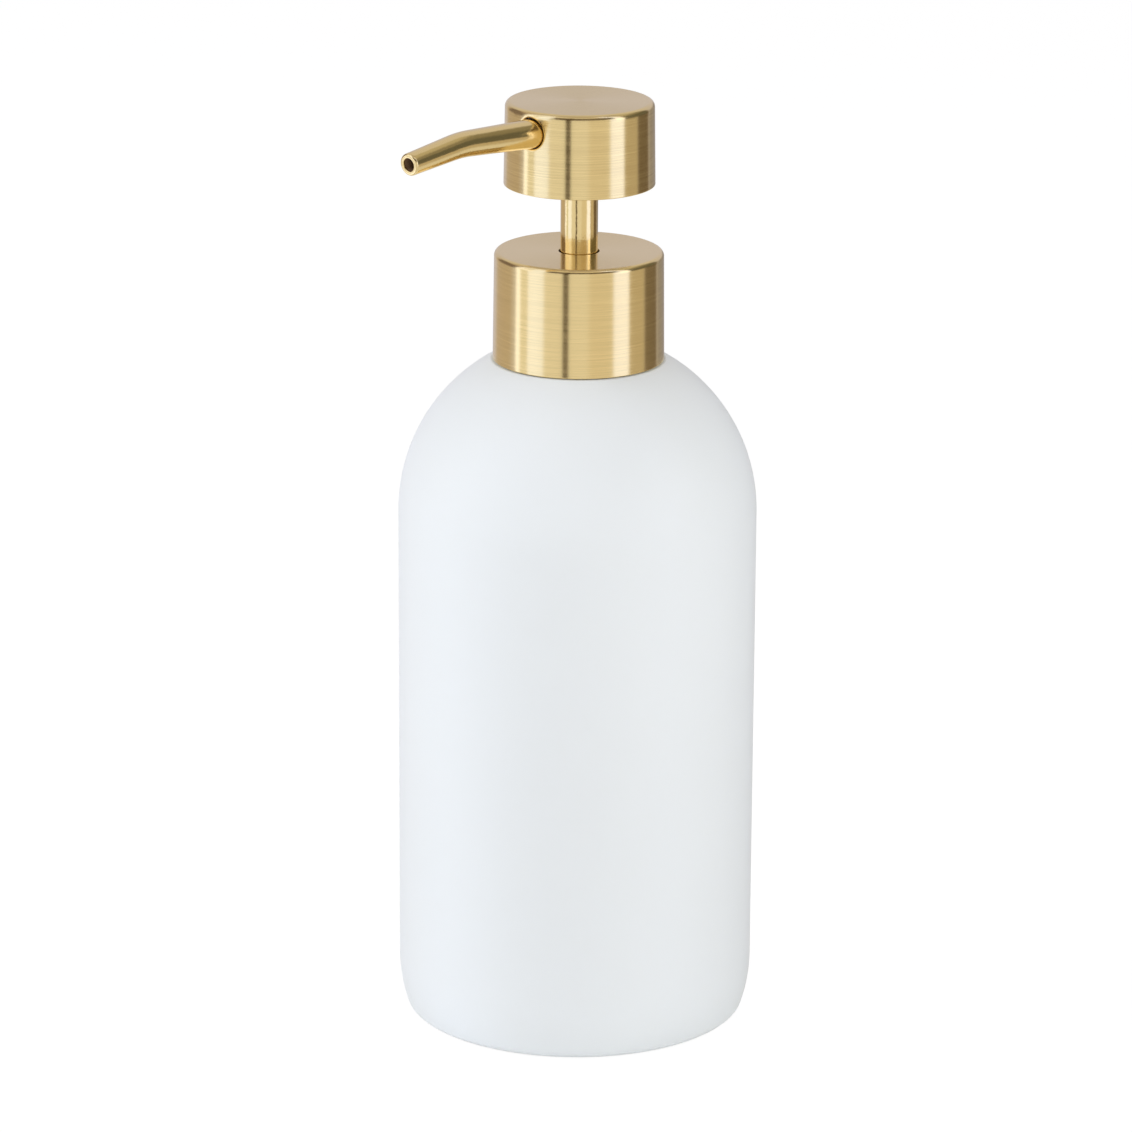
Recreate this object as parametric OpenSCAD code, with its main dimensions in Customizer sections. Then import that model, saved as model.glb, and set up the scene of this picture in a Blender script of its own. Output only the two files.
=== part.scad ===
// Counter-top soap pump dispenser: a round bottle with a hemispherical shoulder, a screwed metal
// collar, and a press-down pump head with a slim bent spout. All lengths are in millimetres.
// +Z is up, z = 0 is the surface that it stands on, and the spout points along -Y.

/* [Bottle] */
// Outside diameter of the straight wall
body_d = 75; // [68:1:90]
// Height of the centre of the round shoulder
shoulder_z = 109.5; // [95:0.5:140]
// Thickness of the wall and shoulder
wall = 3; // [2:0.25:4]
// Thickness of the bottom, above the foot recess
floor_t = 3.6; // [3:0.2:6]
// Thickness of the flat crown around the mouth
crown_t = 4.6; // [4:0.2:7]
// Radius of the long curve from the wall into the heel
heel_r = 32; // [26:1:34]
// Angle through which the long heel curve turns, in degrees
heel_turn = 21.7; // [12:0.1:26]
// Radius of the bottom edge
edge_r = 2.5; // [1.5:0.25:4]
// Radius of the corner between wall and floor inside
inner_corner_r = 11; // [6:0.5:14]
// Diameter of the mouth in the crown
mouth_d = 22.2; // [21.6:0.1:23]

/* [Foot pad] */
// Diameter of the foot pad
pad_d = 60; // [40:1:62]
// Thickness of the foot pad
pad_t = 1.1; // [0.8:0.1:1.6]
// Height of the pad that stands proud of the bottle
pad_proud = 0.4; // [0.2:0.1:0.6]

/* [Threaded neck insert] */
// Root diameter of the thread
neck_d = 25.2; // [24.6:0.1:25.6]
// Bore of the neck
neck_bore_d = 18.6; // [17:0.1:19.4]
// How far the flange glued to the crown stands out past the thread's root
neck_flange_lip = 0.4; // [0.3:0.05:0.6]
// Thickness of that flange
neck_flange_t = 1.3; // [1:0.1:2]
// Length of the spigot below the flange
spigot_h = 5.8; // [4:0.2:8]

/* [Collar] */
// Outside diameter at the collar's lower edge
collar_d = 35.65; // [35.2:0.1:38]
// Height of the collar
collar_h = 22.5; // [22.2:0.1:25]
// How much smaller its radius is at the top
collar_draft = 0.26; // [0.1:0.02:0.5]
// Radius of its top edge
collar_edge_r = 1.3; // [0.7:0.05:1.6]
// Thickness of the drawn metal of the collar and the button
metal_t = 0.6; // [0.4:0.05:0.7]
// Gap around the stem in the collar's top
collar_hole_gap = 0.35; // [0.35:0.025:0.7]
// Gap between the collar and the bottle's crown
collar_gap = 0.45; // [0.3:0.05:0.8]

/* [Closure insert] */
// Room for the thread between the neck's root and the threaded sleeve
thread_room = 1.2; // [1:0.05:1.4]
// Wall of the threaded sleeve
sleeve_wall = 1.4; // [1:0.1:1.6]
// Thickness of the plate that clamps the pump
plate_t = 1.4; // [1:0.1:1.8]
// Number of ribs that centre the metal collar
rib_count = 24; // [12:1:30]
// Thickness of a rib
rib_t = 0.8; // [0.5:0.1:1.2]

/* [Pump head] */
// Outside diameter at the button's lower edge
button_d = 31.3; // [30:0.1:34]
// Height of the button
button_h = 17.4; // [16:0.1:20]
// How much smaller its radius is at the top
button_draft = 0.27; // [0.1:0.02:0.5]
// Radius of its top edge
button_edge_r = 1.5; // [0.7:0.05:1.6]
// Travel of the head
stroke = 13.8; // [10:0.1:14.4]
// Gap that is left between button and collar at full stroke
stop_gap = 0.4; // [0.3:0.05:1]
// Depth of the core's underside inside the button
core_recess = 0.8; // [0.4:0.1:1.5]
// Thickness of the core's bottom plate and its outer wall
core_t = 1.4; // [1:0.1:2]
// Diameter of the core's central boss
core_boss_d = 13; // [12:0.5:15]
// Number of ribs in the core
core_ribs = 6; // [3:1:8]

/* [Spout] */
// Outside diameter where the spout enters the button
spout_d = 6.1; // [5.4:0.1:6.2]
// Outside diameter at the bend
spout_bend_d = 5.25; // [4.8:0.05:5.3]
// Outside diameter at the tip
spout_tip_d = 4.6; // [4.2:0.05:4.8]
// Wall of the spout
spout_wall = 0.95; // [0.5:0.05:1]
// Distance of the tip from the stem's centre line
spout_reach = 51.75; // [46:0.25:60]
// Distance of the bend from the stem's centre line
spout_bend_at = 36.5; // [26:0.5:40]
// Radius of the bend on the spout's centre line
spout_bend_r = 32; // [20:1:40]
// Upward slope of the first stretch, in degrees
spout_rise = 3.5; // [0:0.5:5]
// Downward slope of the tip, in degrees
spout_drop = 6; // [2:0.5:20]
// Depth of the spout's axis below the button's top, at the centre line
spout_depth = 5.45; // [5.3:0.05:7]
// Gap around the spout in the button's side
spout_hole_gap = 0.35; // [0.2:0.05:0.45]

/* [Stem] */
// Outside diameter of the metal stem sleeve
sleeve_d = 7.75; // [7.5:0.05:8.2]
// Wall of the metal stem sleeve
sleeve_t = 0.6; // [0.4:0.05:0.7]
// Depth of the sleeve's top inside the head core
sleeve_seat = 6; // [4:0.5:7]
// Length of the sleeve below the collar's top at rest
sleeve_tail = 7.3; // [5:0.1:10]
// Bore of the inner stem
stem_bore_d = 3.8; // [3:0.1:4.2]
// Depth of the inner stem's top above the sleeve's end
stem_nose = 2; // [1:0.5:3]

/* [Pump] */
// Outside diameter of the pump barrel
barrel_d = 15.6; // [15.4:0.1:16]
// Bore of the pump chamber
chamber_d = 12.6; // [12.2:0.1:12.8]
// Length of the chamber below the flange
chamber_h = 45.5; // [44.5:0.5:52]
// How far the barrel's flange stays inside the neck's root
flange_inset = 0.3; // [0.1:0.1:1.5]
// Thickness of the barrel's flange
barrel_flange_t = 1.6; // [1.2:0.1:2]
// Length of the guide cap inside the barrel
guide_h = 9.1; // [8:0.1:10]
// Height of the guide cap above the closure plate
cap_rise = 3; // [2.6:0.1:4]
// Thickness of the gasket
gasket_t = 1.5; // [1:0.1:2]
// Height of the piston
piston_h = 8.2; // [7:0.1:8.6]
// Share of the stroke that the piston follows
piston_share = 0.9; // [0.85:0.01:0.95]
// Diameter of the inlet ball
ball_d = 4.8; // [4.4:0.1:5]
// Lift of the inlet ball off its seat
ball_lift = 1.1; // [0.8:0.1:1.4]
// Wire of the return spring
wire_d = 0.9; // [0.6:0.05:1]
// Mean diameter of the return spring
coil_d = 9.2; // [9:0.1:9.6]
// Number of turns of the return spring
coils = 8; // [6:0.5:9]
// Outside diameter of the dip tube
dip_d = 6; // [5:0.1:6.4]
// Wall of the dip tube
dip_wall = 0.9; // [0.6:0.1:1.1]
// Depth of the dip tube in its socket
dip_seat = 7.3; // [5:0.1:8]
// Gap between the dip tube's end and the bottle's floor
dip_gap = 2; // [1:0.5:6]

/* [Fits] */
// Radial clearance of pieces that are pressed or glued together
glue_gap = 0.03; // [0.02:0.01:0.05]
// Radial clearance of pieces that run on each other
run_gap = 0.08; // [0.05:0.01:0.1]
// Gap between faces of pieces that move past each other
face_gap = 0.3; // [0.3:0.05:0.4]

/* [Hidden] */
$fn = 96;

white = [0.92, 0.92, 0.93];
gold = [0.83, 0.68, 0.45];
frost = [0.88, 0.9, 0.9];
grey = [0.45, 0.45, 0.46];
steel = [0.72, 0.73, 0.75];
cut = 1; // overshoot of cutting shapes
beyond = body_d; // wider than any profile
land_margin = 0.45; // flat crown outside the collar

// Heights, from the bottle's foot to the button's top.
body_r = body_d / 2;
foot_z = pad_proud;
recess_z = pad_t + 0.05;
floor_z = recess_z + floor_t;
land_r = collar_d / 2 + land_margin;
crown_z = shoulder_z + sqrt(pow(body_r, 2) - pow(land_r, 2));
collar_z = crown_z + collar_gap;
collar_top = collar_z + collar_h;
cap_top = collar_top - metal_t - face_gap - 0.05;
plate_top = cap_top - cap_rise;
plate_z = plate_top - plate_t;
flange_top = plate_z - face_gap;
flange_z = flange_top - barrel_flange_t;
rim_z = flange_z - gasket_t;
neck_h = rim_z - crown_z;
button_z = collar_top + stroke + stop_gap;
button_top = button_z + button_h;
core_z = button_z + core_recess;
core_top = button_top - metal_t - glue_gap;
sleeve_top = core_z + sleeve_seat;
stem_top = sleeve_top + stem_nose;
spout_z = button_top - spout_depth;

// Radii that several pieces share.
sleeve_r = sleeve_d / 2;
stem_r = sleeve_r - sleeve_t - run_gap;
stem_bore_r = stem_bore_d / 2;
guide_r = sleeve_r + run_gap;
barrel_r = barrel_d / 2;
chamber_r = chamber_d / 2;
sleeve_in_r = neck_d / 2 + thread_room;
sleeve_out_r = sleeve_in_r + sleeve_wall;
spout_r = spout_d / 2;
dip_r = dip_d / 2;

// Guide cap: a skirt in the barrel, a neck through the closure plate, a flange and a guide ring.
cap_skirt_r = chamber_r - glue_gap;
cap_neck_r = chamber_r + 0.6;
cap_flange_r = cap_neck_r + 1.7;
cap_flange_z = plate_top + face_gap;
cap_flange_t = 1.2;
wiper_h = 0.9;
wiper_groove_r = guide_r + 0.8;
cap_ring_r = wiper_groove_r + 0.9;
cap_bottom = flange_top - guide_h;

// Piston, plug and chamber, from the guide cap downwards.
piston_top = cap_bottom - face_gap;
piston_z = piston_top - piston_h;
plug_cone_h = 3;
plug_pin_h = 3;
plug_flange_t = 1.6;
plug_top = piston_z - 0.3;
plug_z = plug_top - plug_cone_h - plug_flange_t;
stem_z = plug_top + 0.2;
chamber_z = flange_z - chamber_h;
cage_t = 1.2;
cage_ring_h = 1.8;
coil_seat_r = (coil_d - wire_d) / 2 - 0.3; // inside the spring's end coils
spring_z = chamber_z + cage_t;
seat_cone_h = 1.8;
pocket_r = ball_d / 2 + 0.6;
inlet_r = ball_d / 2 - 0.7;
ball_z = chamber_z - ball_lift - 0.05 - ball_d / 2;
seat_half = atan((pocket_r - inlet_r) / seat_cone_h);
seat_apex_z = ball_z - 0.1 - (ball_d / 2) / sin(seat_half);
seat_z = seat_apex_z + inlet_r / tan(seat_half);
socket_top = seat_z - 1.5;
socket_z = socket_top - dip_seat;
socket_r = dip_r + 1.6;
dip_z = floor_z + dip_gap;
vent_z = flange_z - 3.5;

// Ring that seals the spout just inside the button's hole: its thickness, width and place.
seal_t = 0.9;
seal_w = 1.2;
seal_x = button_d / 2 - button_draft - metal_t - seal_w - 0.9;

function taper(r, draft, h, z) = r - draft * z / h;

// Part of a 2D profile that lies right of the turning axis, between two heights.
module band(z0, z1) {
    intersection() {
        children();
        translate([0, z0]) square([beyond, z1 - z0]);
    }
}

module ring(r_out, r_in, z0, z1) {
    translate([0, 0, z0]) difference() {
        cylinder(r = r_out, h = z1 - z0);
        translate([0, 0, -cut]) cylinder(r = r_in, h = z1 - z0 + 2 * cut);
    }
}

// Outside of the bottle: small edge, long heel curve, straight wall and hemispherical shoulder.
module bottle_outline() {
    edge_x = body_r - heel_r + (heel_r - edge_r) * cos(heel_turn);
    edge_z = foot_z + edge_r;
    heel_z = edge_z + (heel_r - edge_r) * sin(heel_turn);
    low_z = edge_z - edge_r * sin(heel_turn);
    translate([0, foot_z]) square([edge_x, edge_r + 1]);
    band(foot_z, edge_z) translate([edge_x, edge_z]) circle(edge_r);
    translate([0, low_z]) square([edge_x, heel_z - low_z + cut]);
    band(low_z, heel_z) translate([body_r - heel_r, heel_z]) circle(heel_r);
    translate([0, heel_z]) square([body_r, shoulder_z - heel_z]);
    band(shoulder_z, crown_z) translate([0, shoulder_z]) circle(body_r);
}

// Inside of the bottle, a wall thickness in, with a flat ceiling around the mouth.
module bottle_cavity() {
    inner_r = body_r - wall;
    corner_x = inner_r - inner_corner_r;
    corner_z = floor_z + inner_corner_r;
    ceiling_z = crown_z - crown_t;
    translate([0, floor_z]) square([corner_x, inner_corner_r + cut]);
    band(floor_z, corner_z) translate([corner_x, corner_z]) circle(inner_corner_r);
    translate([0, corner_z]) square([inner_r, shoulder_z - corner_z]);
    band(shoulder_z, ceiling_z) translate([0, shoulder_z]) circle(inner_r);
}

module bottle() {
    color(white) difference() {
        rotate_extrude() bottle_outline();
        rotate_extrude() bottle_cavity();
        translate([0, 0, crown_z - crown_t - cut]) cylinder(d = mouth_d, h = crown_t + 2 * cut);
        translate([0, 0, foot_z - cut]) cylinder(d = pad_d + 0.8, h = recess_z - foot_z + cut);
    }
}

module base_pad() {
    color(grey) cylinder(d = pad_d, h = pad_t);
}

// Glued into the ceramic mouth; its thread takes the collar.
module neck_insert() {
    color(white) difference() {
        union() {
            translate([0, 0, crown_z - spigot_h])
                cylinder(r = mouth_d / 2 - glue_gap, h = spigot_h + cut);
            translate([0, 0, crown_z]) cylinder(r = neck_d / 2 + neck_flange_lip, h = neck_flange_t);
            translate([0, 0, crown_z]) cylinder(d = neck_d, h = neck_h - 0.5);
            translate([0, 0, rim_z - 0.5]) cylinder(d1 = neck_d, d2 = neck_d - 1, h = 0.5);
        }
        translate([0, 0, crown_z - spigot_h - cut])
            cylinder(d = neck_bore_d, h = spigot_h + neck_h + 2 * cut);
    }
}

module gasket() {
    color(grey) ring(neck_d / 2 - 0.2, barrel_r + 0.35, rim_z, flange_z);
}

// Barrel with its flange, vent hole, ball seat and dip-tube socket.
module pump_housing() {
    shoulder_low = socket_top - 0.5;
    shoulder_high = chamber_z - 2.5;
    flange_r = neck_d / 2 - flange_inset;
    seat_top = seat_z + seat_cone_h;
    tube_r = dip_r + glue_gap;
    color(frost) difference() {
        union() {
            rotate_extrude() polygon([
                [tube_r, socket_z], [socket_r, socket_z], [socket_r, shoulder_low],
                [barrel_r, shoulder_high], [barrel_r, flange_z], [flange_r, flange_z],
                [flange_r, flange_top], [chamber_r, flange_top], [chamber_r, chamber_z],
                [pocket_r, chamber_z], [pocket_r, seat_top], [inlet_r, seat_z],
                [inlet_r, socket_top], [tube_r, socket_top]]);
            for (a = [0 : 90 : 270]) rotate(a)
                translate([socket_r - 0.5, -0.5, socket_z + 2])
                    cube([1.3, 1, shoulder_low - socket_z - 1]);
        }
        translate([0, 0, vent_z]) rotate([0, 90, 0]) cylinder(d = 1.4, h = barrel_r + cut);
    }
}

module guide_cap() {
    color(white) difference() {
        union() {
            translate([0, 0, cap_bottom]) cylinder(r = cap_skirt_r, h = guide_h + 0.5);
            translate([0, 0, flange_top]) cylinder(r = cap_neck_r, h = cap_flange_z - flange_top + 0.1);
            translate([0, 0, cap_flange_z]) cylinder(r = cap_flange_r, h = cap_flange_t);
            translate([0, 0, cap_flange_z]) cylinder(r = cap_ring_r, h = cap_top - cap_flange_z);
        }
        translate([0, 0, cap_bottom - cut]) cylinder(r = guide_r, h = cap_top - cap_bottom + 2 * cut);
        translate([0, 0, cap_top - wiper_h]) cylinder(r = wiper_groove_r, h = wiper_h + cut);
    }
}

// Soft lip ring that keeps water out of the pump.
module stem_wiper() {
    color(grey) ring(wiper_groove_r - glue_gap, guide_r, cap_top - wiper_h, cap_top - 0.1);
}

// Perforated disc that holds the ball down and carries the spring.
module ball_cage() {
    hole_r = 0.5;
    color(white) difference() {
        union() {
            translate([0, 0, chamber_z]) cylinder(r = chamber_r - glue_gap, h = cage_t);
            ring(coil_seat_r, coil_seat_r / 2, chamber_z, spring_z + cage_ring_h);
        }
        translate([0, 0, chamber_z - cut]) cylinder(r = hole_r * 2.4, h = cage_t + 2 * cut);
        for (a = [0 : 60 : 300]) rotate(a) translate([coil_seat_r * 0.68, 0, chamber_z - cut])
            cylinder(r = hole_r, h = cage_t + cage_ring_h + 2 * cut);
    }
}

module inlet_ball() {
    color(steel) translate([0, 0, ball_z]) sphere(d = ball_d);
}

module dip_tube() {
    color(frost) difference() {
        ring(dip_r, dip_r - dip_wall, dip_z, socket_top - 0.2);
        translate([-dip_r, 0, dip_z]) rotate([0, 30, 0])
            translate([-dip_d, -dip_d, -2 * dip_d]) cube([4 * dip_d, 2 * dip_d, 2 * dip_d]);
    }
}

// Compression spring with closed ends: a wire swept along a helix whose pitch fades to one wire.
module return_spring() {
    sides = 6;
    per_turn = 18;
    steps = floor(coils * per_turn);
    z0 = spring_z + wire_d / 2;
    z1 = plug_z - wire_d / 2;
    dead = wire_d * 1.06;
    live = (z1 - z0 - 2 * dead) / (coils - 2);
    function rise(t) = t < 1 ? dead * t
        : t > coils - 1 ? dead + live * (coils - 2) + dead * (t - coils + 1)
        : dead + live * (t - 1);
    function ring_point(i, k) =
        let (t = i / per_turn, a = 360 * t, b = 360 * k / sides, r = coil_d / 2 + wire_d / 2 * cos(b))
        [r * cos(a), r * sin(a), z0 + rise(t) + wire_d / 2 * sin(b)];
    points = [for (i = [0 : steps]) for (k = [0 : sides - 1]) ring_point(i, k)];
    walls = [for (i = [0 : steps - 1]) for (k = [0 : sides - 1])
        let (a = i * sides + k, b = i * sides + (k + 1) % sides) [a, b, b + sides, a + sides]];
    first = [for (k = [sides - 1 : -1 : 0]) k];
    last = [for (k = [0 : sides - 1]) steps * sides + k];
    color(steel) polyhedron(points, concat(walls, [first, last]));
}

// Sliding seal with two lips against the chamber.
module piston() {
    seal_r = chamber_r - run_gap;
    waist_r = seal_r - 1;
    bore_r = stem_r + run_gap;
    lip_h = piston_h * 0.24;
    color(grey) rotate_extrude() polygon([
        [bore_r, piston_z], [bore_r + 0.9, piston_z], [waist_r - 0.9, piston_z + 0.6],
        [seal_r - 0.2, piston_z - 0.1], [seal_r, piston_z + 0.3], [seal_r, piston_z + 0.9],
        [waist_r, piston_z + lip_h], [waist_r, piston_top - lip_h], [seal_r, piston_top - 0.9],
        [seal_r, piston_top - 0.2], [seal_r - 0.3, piston_top], [waist_r - 0.6, piston_top - 1.1],
        [bore_r + 0.8, piston_top - 0.8], [bore_r, piston_top - 0.4]]);
}

// Hollow stem: four flutes lead the soap from the piston's lip to two ports and the bore.
module stem() {
    flute_top = stem_z + piston_h - 2.5;
    color(white) difference() {
        translate([0, 0, stem_z]) cylinder(r = stem_r, h = stem_top - stem_z);
        translate([0, 0, stem_z - cut]) cylinder(r = stem_bore_r, h = stem_top - stem_z + 2 * cut);
        for (a = [0 : 90 : 270]) rotate(a) translate([stem_r - 0.5, -0.4, stem_z - cut])
            cube([cut, 0.8, flute_top - stem_z + cut]);
        for (a = [0, 90]) rotate(a) translate([-stem_r - cut, 0, flute_top - 0.6])
            rotate([0, 90, 0]) cylinder(d = 1.2, h = 2 * stem_r + 2 * cut);
    }
}

// Valve cone and spring seat at the stem's lower end.
module stem_plug() {
    spigot_r = coil_seat_r;
    pin_r = stem_bore_r - glue_gap;
    pin_top = plug_top + plug_pin_h;
    color(white) rotate_extrude() polygon([
        [0, plug_z - 1.6], [spigot_r - 0.4, plug_z - 1.6], [spigot_r, plug_z - 1.2], [spigot_r, plug_z],
        [chamber_r - 0.7, plug_z], [chamber_r - 0.7, plug_z + plug_flange_t],
        [chamber_r - 1.4, plug_z + plug_flange_t], [stem_r, plug_top], [pin_r, plug_top],
        [pin_r, pin_top], [pin_r - 0.4, pin_top + 0.4], [0, pin_top + 0.4]]);
}

// Drawn metal shell with a slight draft, a rounded top edge and an open underside.
module drawn_shell(r, draft, h, edge) {
    function side(z, t) = taper(r, draft, h, z) - t;
    module outline(t, top) {
        corner = max(edge - t, 0.1);
        x = side(h, t) - corner;
        polygon([[0, -cut * sign(t)], [side(-cut * sign(t), t), -cut * sign(t)],
                 [side(top - corner, t), top - corner], [0, top - corner]]);
        square([x, top]);
        translate([x, top - corner]) intersection() {
            circle(side(top - corner, t) - x);
            translate([0, -0.01]) square([edge * 2, corner]);
        }
    }
    difference() {
        rotate_extrude() outline(0, h);
        rotate_extrude() outline(metal_t, h - metal_t);
    }
}

module collar_shell() {
    color(gold) difference() {
        translate([0, 0, collar_z]) drawn_shell(collar_d / 2, collar_draft, collar_h, collar_edge_r);
        translate([0, 0, collar_top - metal_t - cut])
            cylinder(r = sleeve_r + collar_hole_gap, h = metal_t + 2 * cut);
    }
}

// Solid that fills a drawn shell from z0 to z1, a glue gap inside it.
module shell_filling(r, draft, h, z0, z1) {
    inset = metal_t + glue_gap;
    translate([0, 0, z0])
        cylinder(r1 = taper(r, draft, h, z0) - inset, r2 = taper(r, draft, h, z1) - inset, h = z1 - z0);
}

// Threaded sleeve, clamping plate and the ribs that centre the metal collar.
module closure_insert() {
    sleeve_z = 0.6;
    top_z = collar_h - metal_t - glue_gap;
    color(white) {
        difference() {
            translate([0, 0, collar_z + sleeve_z])
                cylinder(r = sleeve_out_r, h = top_z - sleeve_z);
            translate([0, 0, collar_z]) cylinder(r = sleeve_in_r, h = plate_z - collar_z);
            translate([0, 0, plate_top]) cylinder(r = sleeve_out_r - 1.2, h = collar_h);
            translate([0, 0, plate_z - cut]) cylinder(r = cap_neck_r + face_gap, h = plate_t + 2 * cut);
        }
        difference() {
            intersection() {
                translate([0, 0, collar_z])
                    shell_filling(collar_d / 2, collar_draft, collar_h, sleeve_z + 0.6, top_z - 1.2);
                for (i = [0 : rib_count - 1]) rotate(i * 360 / rib_count)
                    translate([sleeve_out_r - 0.2, -rib_t / 2, collar_z])
                        cube([collar_d / 2, rib_t, collar_h]);
            }
            translate([0, 0, collar_z]) cylinder(r = sleeve_out_r - 0.1, h = collar_h);
        }
    }
}

module stem_sleeve() {
    color(gold) ring(sleeve_r, sleeve_r - sleeve_t, collar_top - sleeve_tail, sleeve_top);
}

// Frame of the spout: +X of the children runs outwards along its first stretch.
module spout_frame() {
    translate([0, 0, spout_z]) rotate([0, 0, -90]) rotate([0, -spout_rise, 0]) children();
}

module along_x(r1, r2, x0, x1) {
    translate([x0, 0, 0]) rotate([0, 90, 0]) cylinder(r1 = r1, r2 = r2, h = x1 - x0);
}

// Head core: bottom plate, outer wall, ribs, stem socket and the boss that takes the spout.
module button_core() {
    r = button_d / 2;
    low = core_recess;
    high = core_top - button_z;
    boss_r = core_boss_d / 2;
    duct_r = stem_bore_r;
    socket_x = boss_r - 1.6;
    color(white) difference() {
        union() {
            difference() {
                translate([0, 0, button_z]) shell_filling(r, button_draft, button_h, low, high - 1);
                translate([0, 0, core_z + core_t])
                    cylinder(r = taper(r, button_draft, button_h, high) - metal_t - core_t, h = button_h);
            }
            translate([0, 0, core_z]) cylinder(r = boss_r, h = core_top - core_z);
            for (i = [0 : core_ribs - 1]) rotate(i * 360 / core_ribs + 180 / core_ribs - 90)
                translate([0, -0.6, core_z]) cube([r - metal_t - core_t, 1.2, button_h * 0.77]);
            intersection() {
                spout_frame() along_x(spout_r + 1.3, spout_r + 1.3, 0, seal_x + seal_w);
                translate([0, 0, button_z]) shell_filling(r, button_draft, button_h, low, high);
            }
        }
        translate([0, 0, core_z - cut]) cylinder(r = sleeve_r + glue_gap, h = sleeve_seat + cut);
        translate([0, 0, sleeve_top - 0.01]) cylinder(r = stem_r + run_gap, h = stem_nose + 0.06);
        translate([0, 0, stem_top - cut]) cylinder(r = duct_r, h = spout_z - stem_top + cut);
        spout_frame() along_x(duct_r, duct_r, -duct_r * 0.6, socket_x + cut);
        spout_frame() along_x(spout_r + glue_gap, spout_r + glue_gap, socket_x, r + cut);
        spout_frame() along_x(spout_r + seal_t, spout_r + seal_t, seal_x, r + cut);
    }
}

// Soft ring around the spout, just inside the button's hole.
module nozzle_seal() {
    color(grey) spout_frame() difference() {
        along_x(spout_r + seal_t - glue_gap, spout_r + seal_t - glue_gap, seal_x, seal_x + seal_w);
        along_x(spout_r + glue_gap, spout_r + glue_gap, seal_x - cut, seal_x + seal_w + cut);
    }
}

module button_shell() {
    color(gold) difference() {
        translate([0, 0, button_z]) drawn_shell(button_d / 2, button_draft, button_h, button_edge_r);
        spout_frame() along_x(spout_r + spout_hole_gap, spout_r + spout_hole_gap, button_d / 4, button_d);
    }
}

// Tapered metal tube, swept along two straight stretches and the bend between them: a skin of rings
// that runs out along the outside, turns over the tip and comes back along the bore.
module spout() {
    sides = 32;
    bend_steps = 8;
    turn = spout_rise + spout_drop;
    half = spout_bend_r * tan(turn / 2);
    bend_start = spout_bend_at / cos(spout_rise) - half;
    bend_end = bend_start + spout_bend_r * turn * PI / 180;
    tip_s = bend_end + (spout_reach - spout_bend_at) / cos(spout_drop) - half;
    root_s = core_boss_d / 2 - 1.4;
    enter_s = button_d / 2 - button_draft - 1;
    rim = spout_wall / 4;
    function centre(s) =
        let (a = max(0, min(turn, (s - bend_start) / spout_bend_r * 180 / PI)), far = max(0, s - bend_end))
        [min(s, bend_start) + spout_bend_r * sin(a) + far * cos(a),
         -spout_bend_r * (1 - cos(a)) - far * sin(a), a];
    function radius(s) = lookup(s, [[root_s, spout_r], [enter_s, spout_r],
        [(bend_start + bend_end) / 2, spout_bend_d / 2], [tip_s, spout_tip_d / 2]]);
    function ring_of(s, r) = let (c = centre(s)) [for (k = [0 : sides - 1]) let (t = 360 * k / sides)
        [c[0] + r * cos(t) * sin(c[2]), r * sin(t), c[1] + r * cos(t) * cos(c[2])]];
    bend = [for (i = [0 : bend_steps]) bend_start + (bend_end - bend_start) * i / bend_steps];
    stations = concat([root_s, enter_s, (enter_s + bend_start) / 2], bend, [(bend_end + tip_s) / 2]);
    last = len(stations) - 1;
    rings = concat(
        [for (s = stations) ring_of(s, radius(s))],
        [ring_of(tip_s - rim, radius(tip_s)), ring_of(tip_s, radius(tip_s) - rim)],
        [ring_of(tip_s, radius(tip_s) - spout_wall + rim), ring_of(tip_s - rim, radius(tip_s) - spout_wall)],
        [for (i = [last : -1 : 0]) ring_of(stations[i], radius(stations[i]) - spout_wall)]);
    count = len(rings);
    faces = [for (i = [0 : count - 1]) for (k = [0 : sides - 1])
        let (j = (i + 1) % count, m = (k + 1) % sides)
        [i * sides + k, j * sides + k, j * sides + m, i * sides + m]];
    color(gold) spout_frame() polyhedron([for (r = rings) each r], faces);
}

bottle();
base_pad();
neck_insert();
gasket();
pump_housing();
guide_cap();
stem_wiper();
ball_cage();
inlet_ball();
dip_tube();
return_spring();
piston();
stem();
stem_plug();
closure_insert();
collar_shell();
stem_sleeve();
button_core();
button_shell();
nozzle_seal();
spout();
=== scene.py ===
"""Looks of a counter-top soap pump dispenser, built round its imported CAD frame.

The dispenser is a matt glazed bottle, a screwed collar of brushed gold metal, a polished stem, and
a press-down button with a slim bent spout. Lengths are in metres, z is up, and the spout points
along -Y.
"""

import logging
import math
from collections.abc import Sequence
from dataclasses import dataclass, field
from enum import Enum, auto

import bmesh
import bpy
from mathutils import Matrix, Vector


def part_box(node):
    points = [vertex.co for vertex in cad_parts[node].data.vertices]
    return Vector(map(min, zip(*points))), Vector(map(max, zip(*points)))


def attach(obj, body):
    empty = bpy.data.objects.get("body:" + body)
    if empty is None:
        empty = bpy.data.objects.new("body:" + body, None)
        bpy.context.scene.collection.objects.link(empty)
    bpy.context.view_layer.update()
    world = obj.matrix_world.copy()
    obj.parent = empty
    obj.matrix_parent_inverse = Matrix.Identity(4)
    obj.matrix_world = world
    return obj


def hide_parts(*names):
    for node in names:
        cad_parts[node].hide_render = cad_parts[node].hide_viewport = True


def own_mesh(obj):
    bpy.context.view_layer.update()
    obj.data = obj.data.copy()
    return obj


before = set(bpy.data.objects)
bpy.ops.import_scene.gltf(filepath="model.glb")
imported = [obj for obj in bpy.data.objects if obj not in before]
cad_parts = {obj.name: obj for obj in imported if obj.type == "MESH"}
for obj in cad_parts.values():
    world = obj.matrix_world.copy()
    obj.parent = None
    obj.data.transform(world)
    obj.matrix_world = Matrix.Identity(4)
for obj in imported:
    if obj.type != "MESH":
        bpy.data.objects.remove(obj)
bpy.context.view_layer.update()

LOG = logging.getLogger("dispenser")
Colour = tuple[float, float, float]
Point = tuple[float, float]

MM = 0.001
TURN = 2 * math.pi
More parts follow.
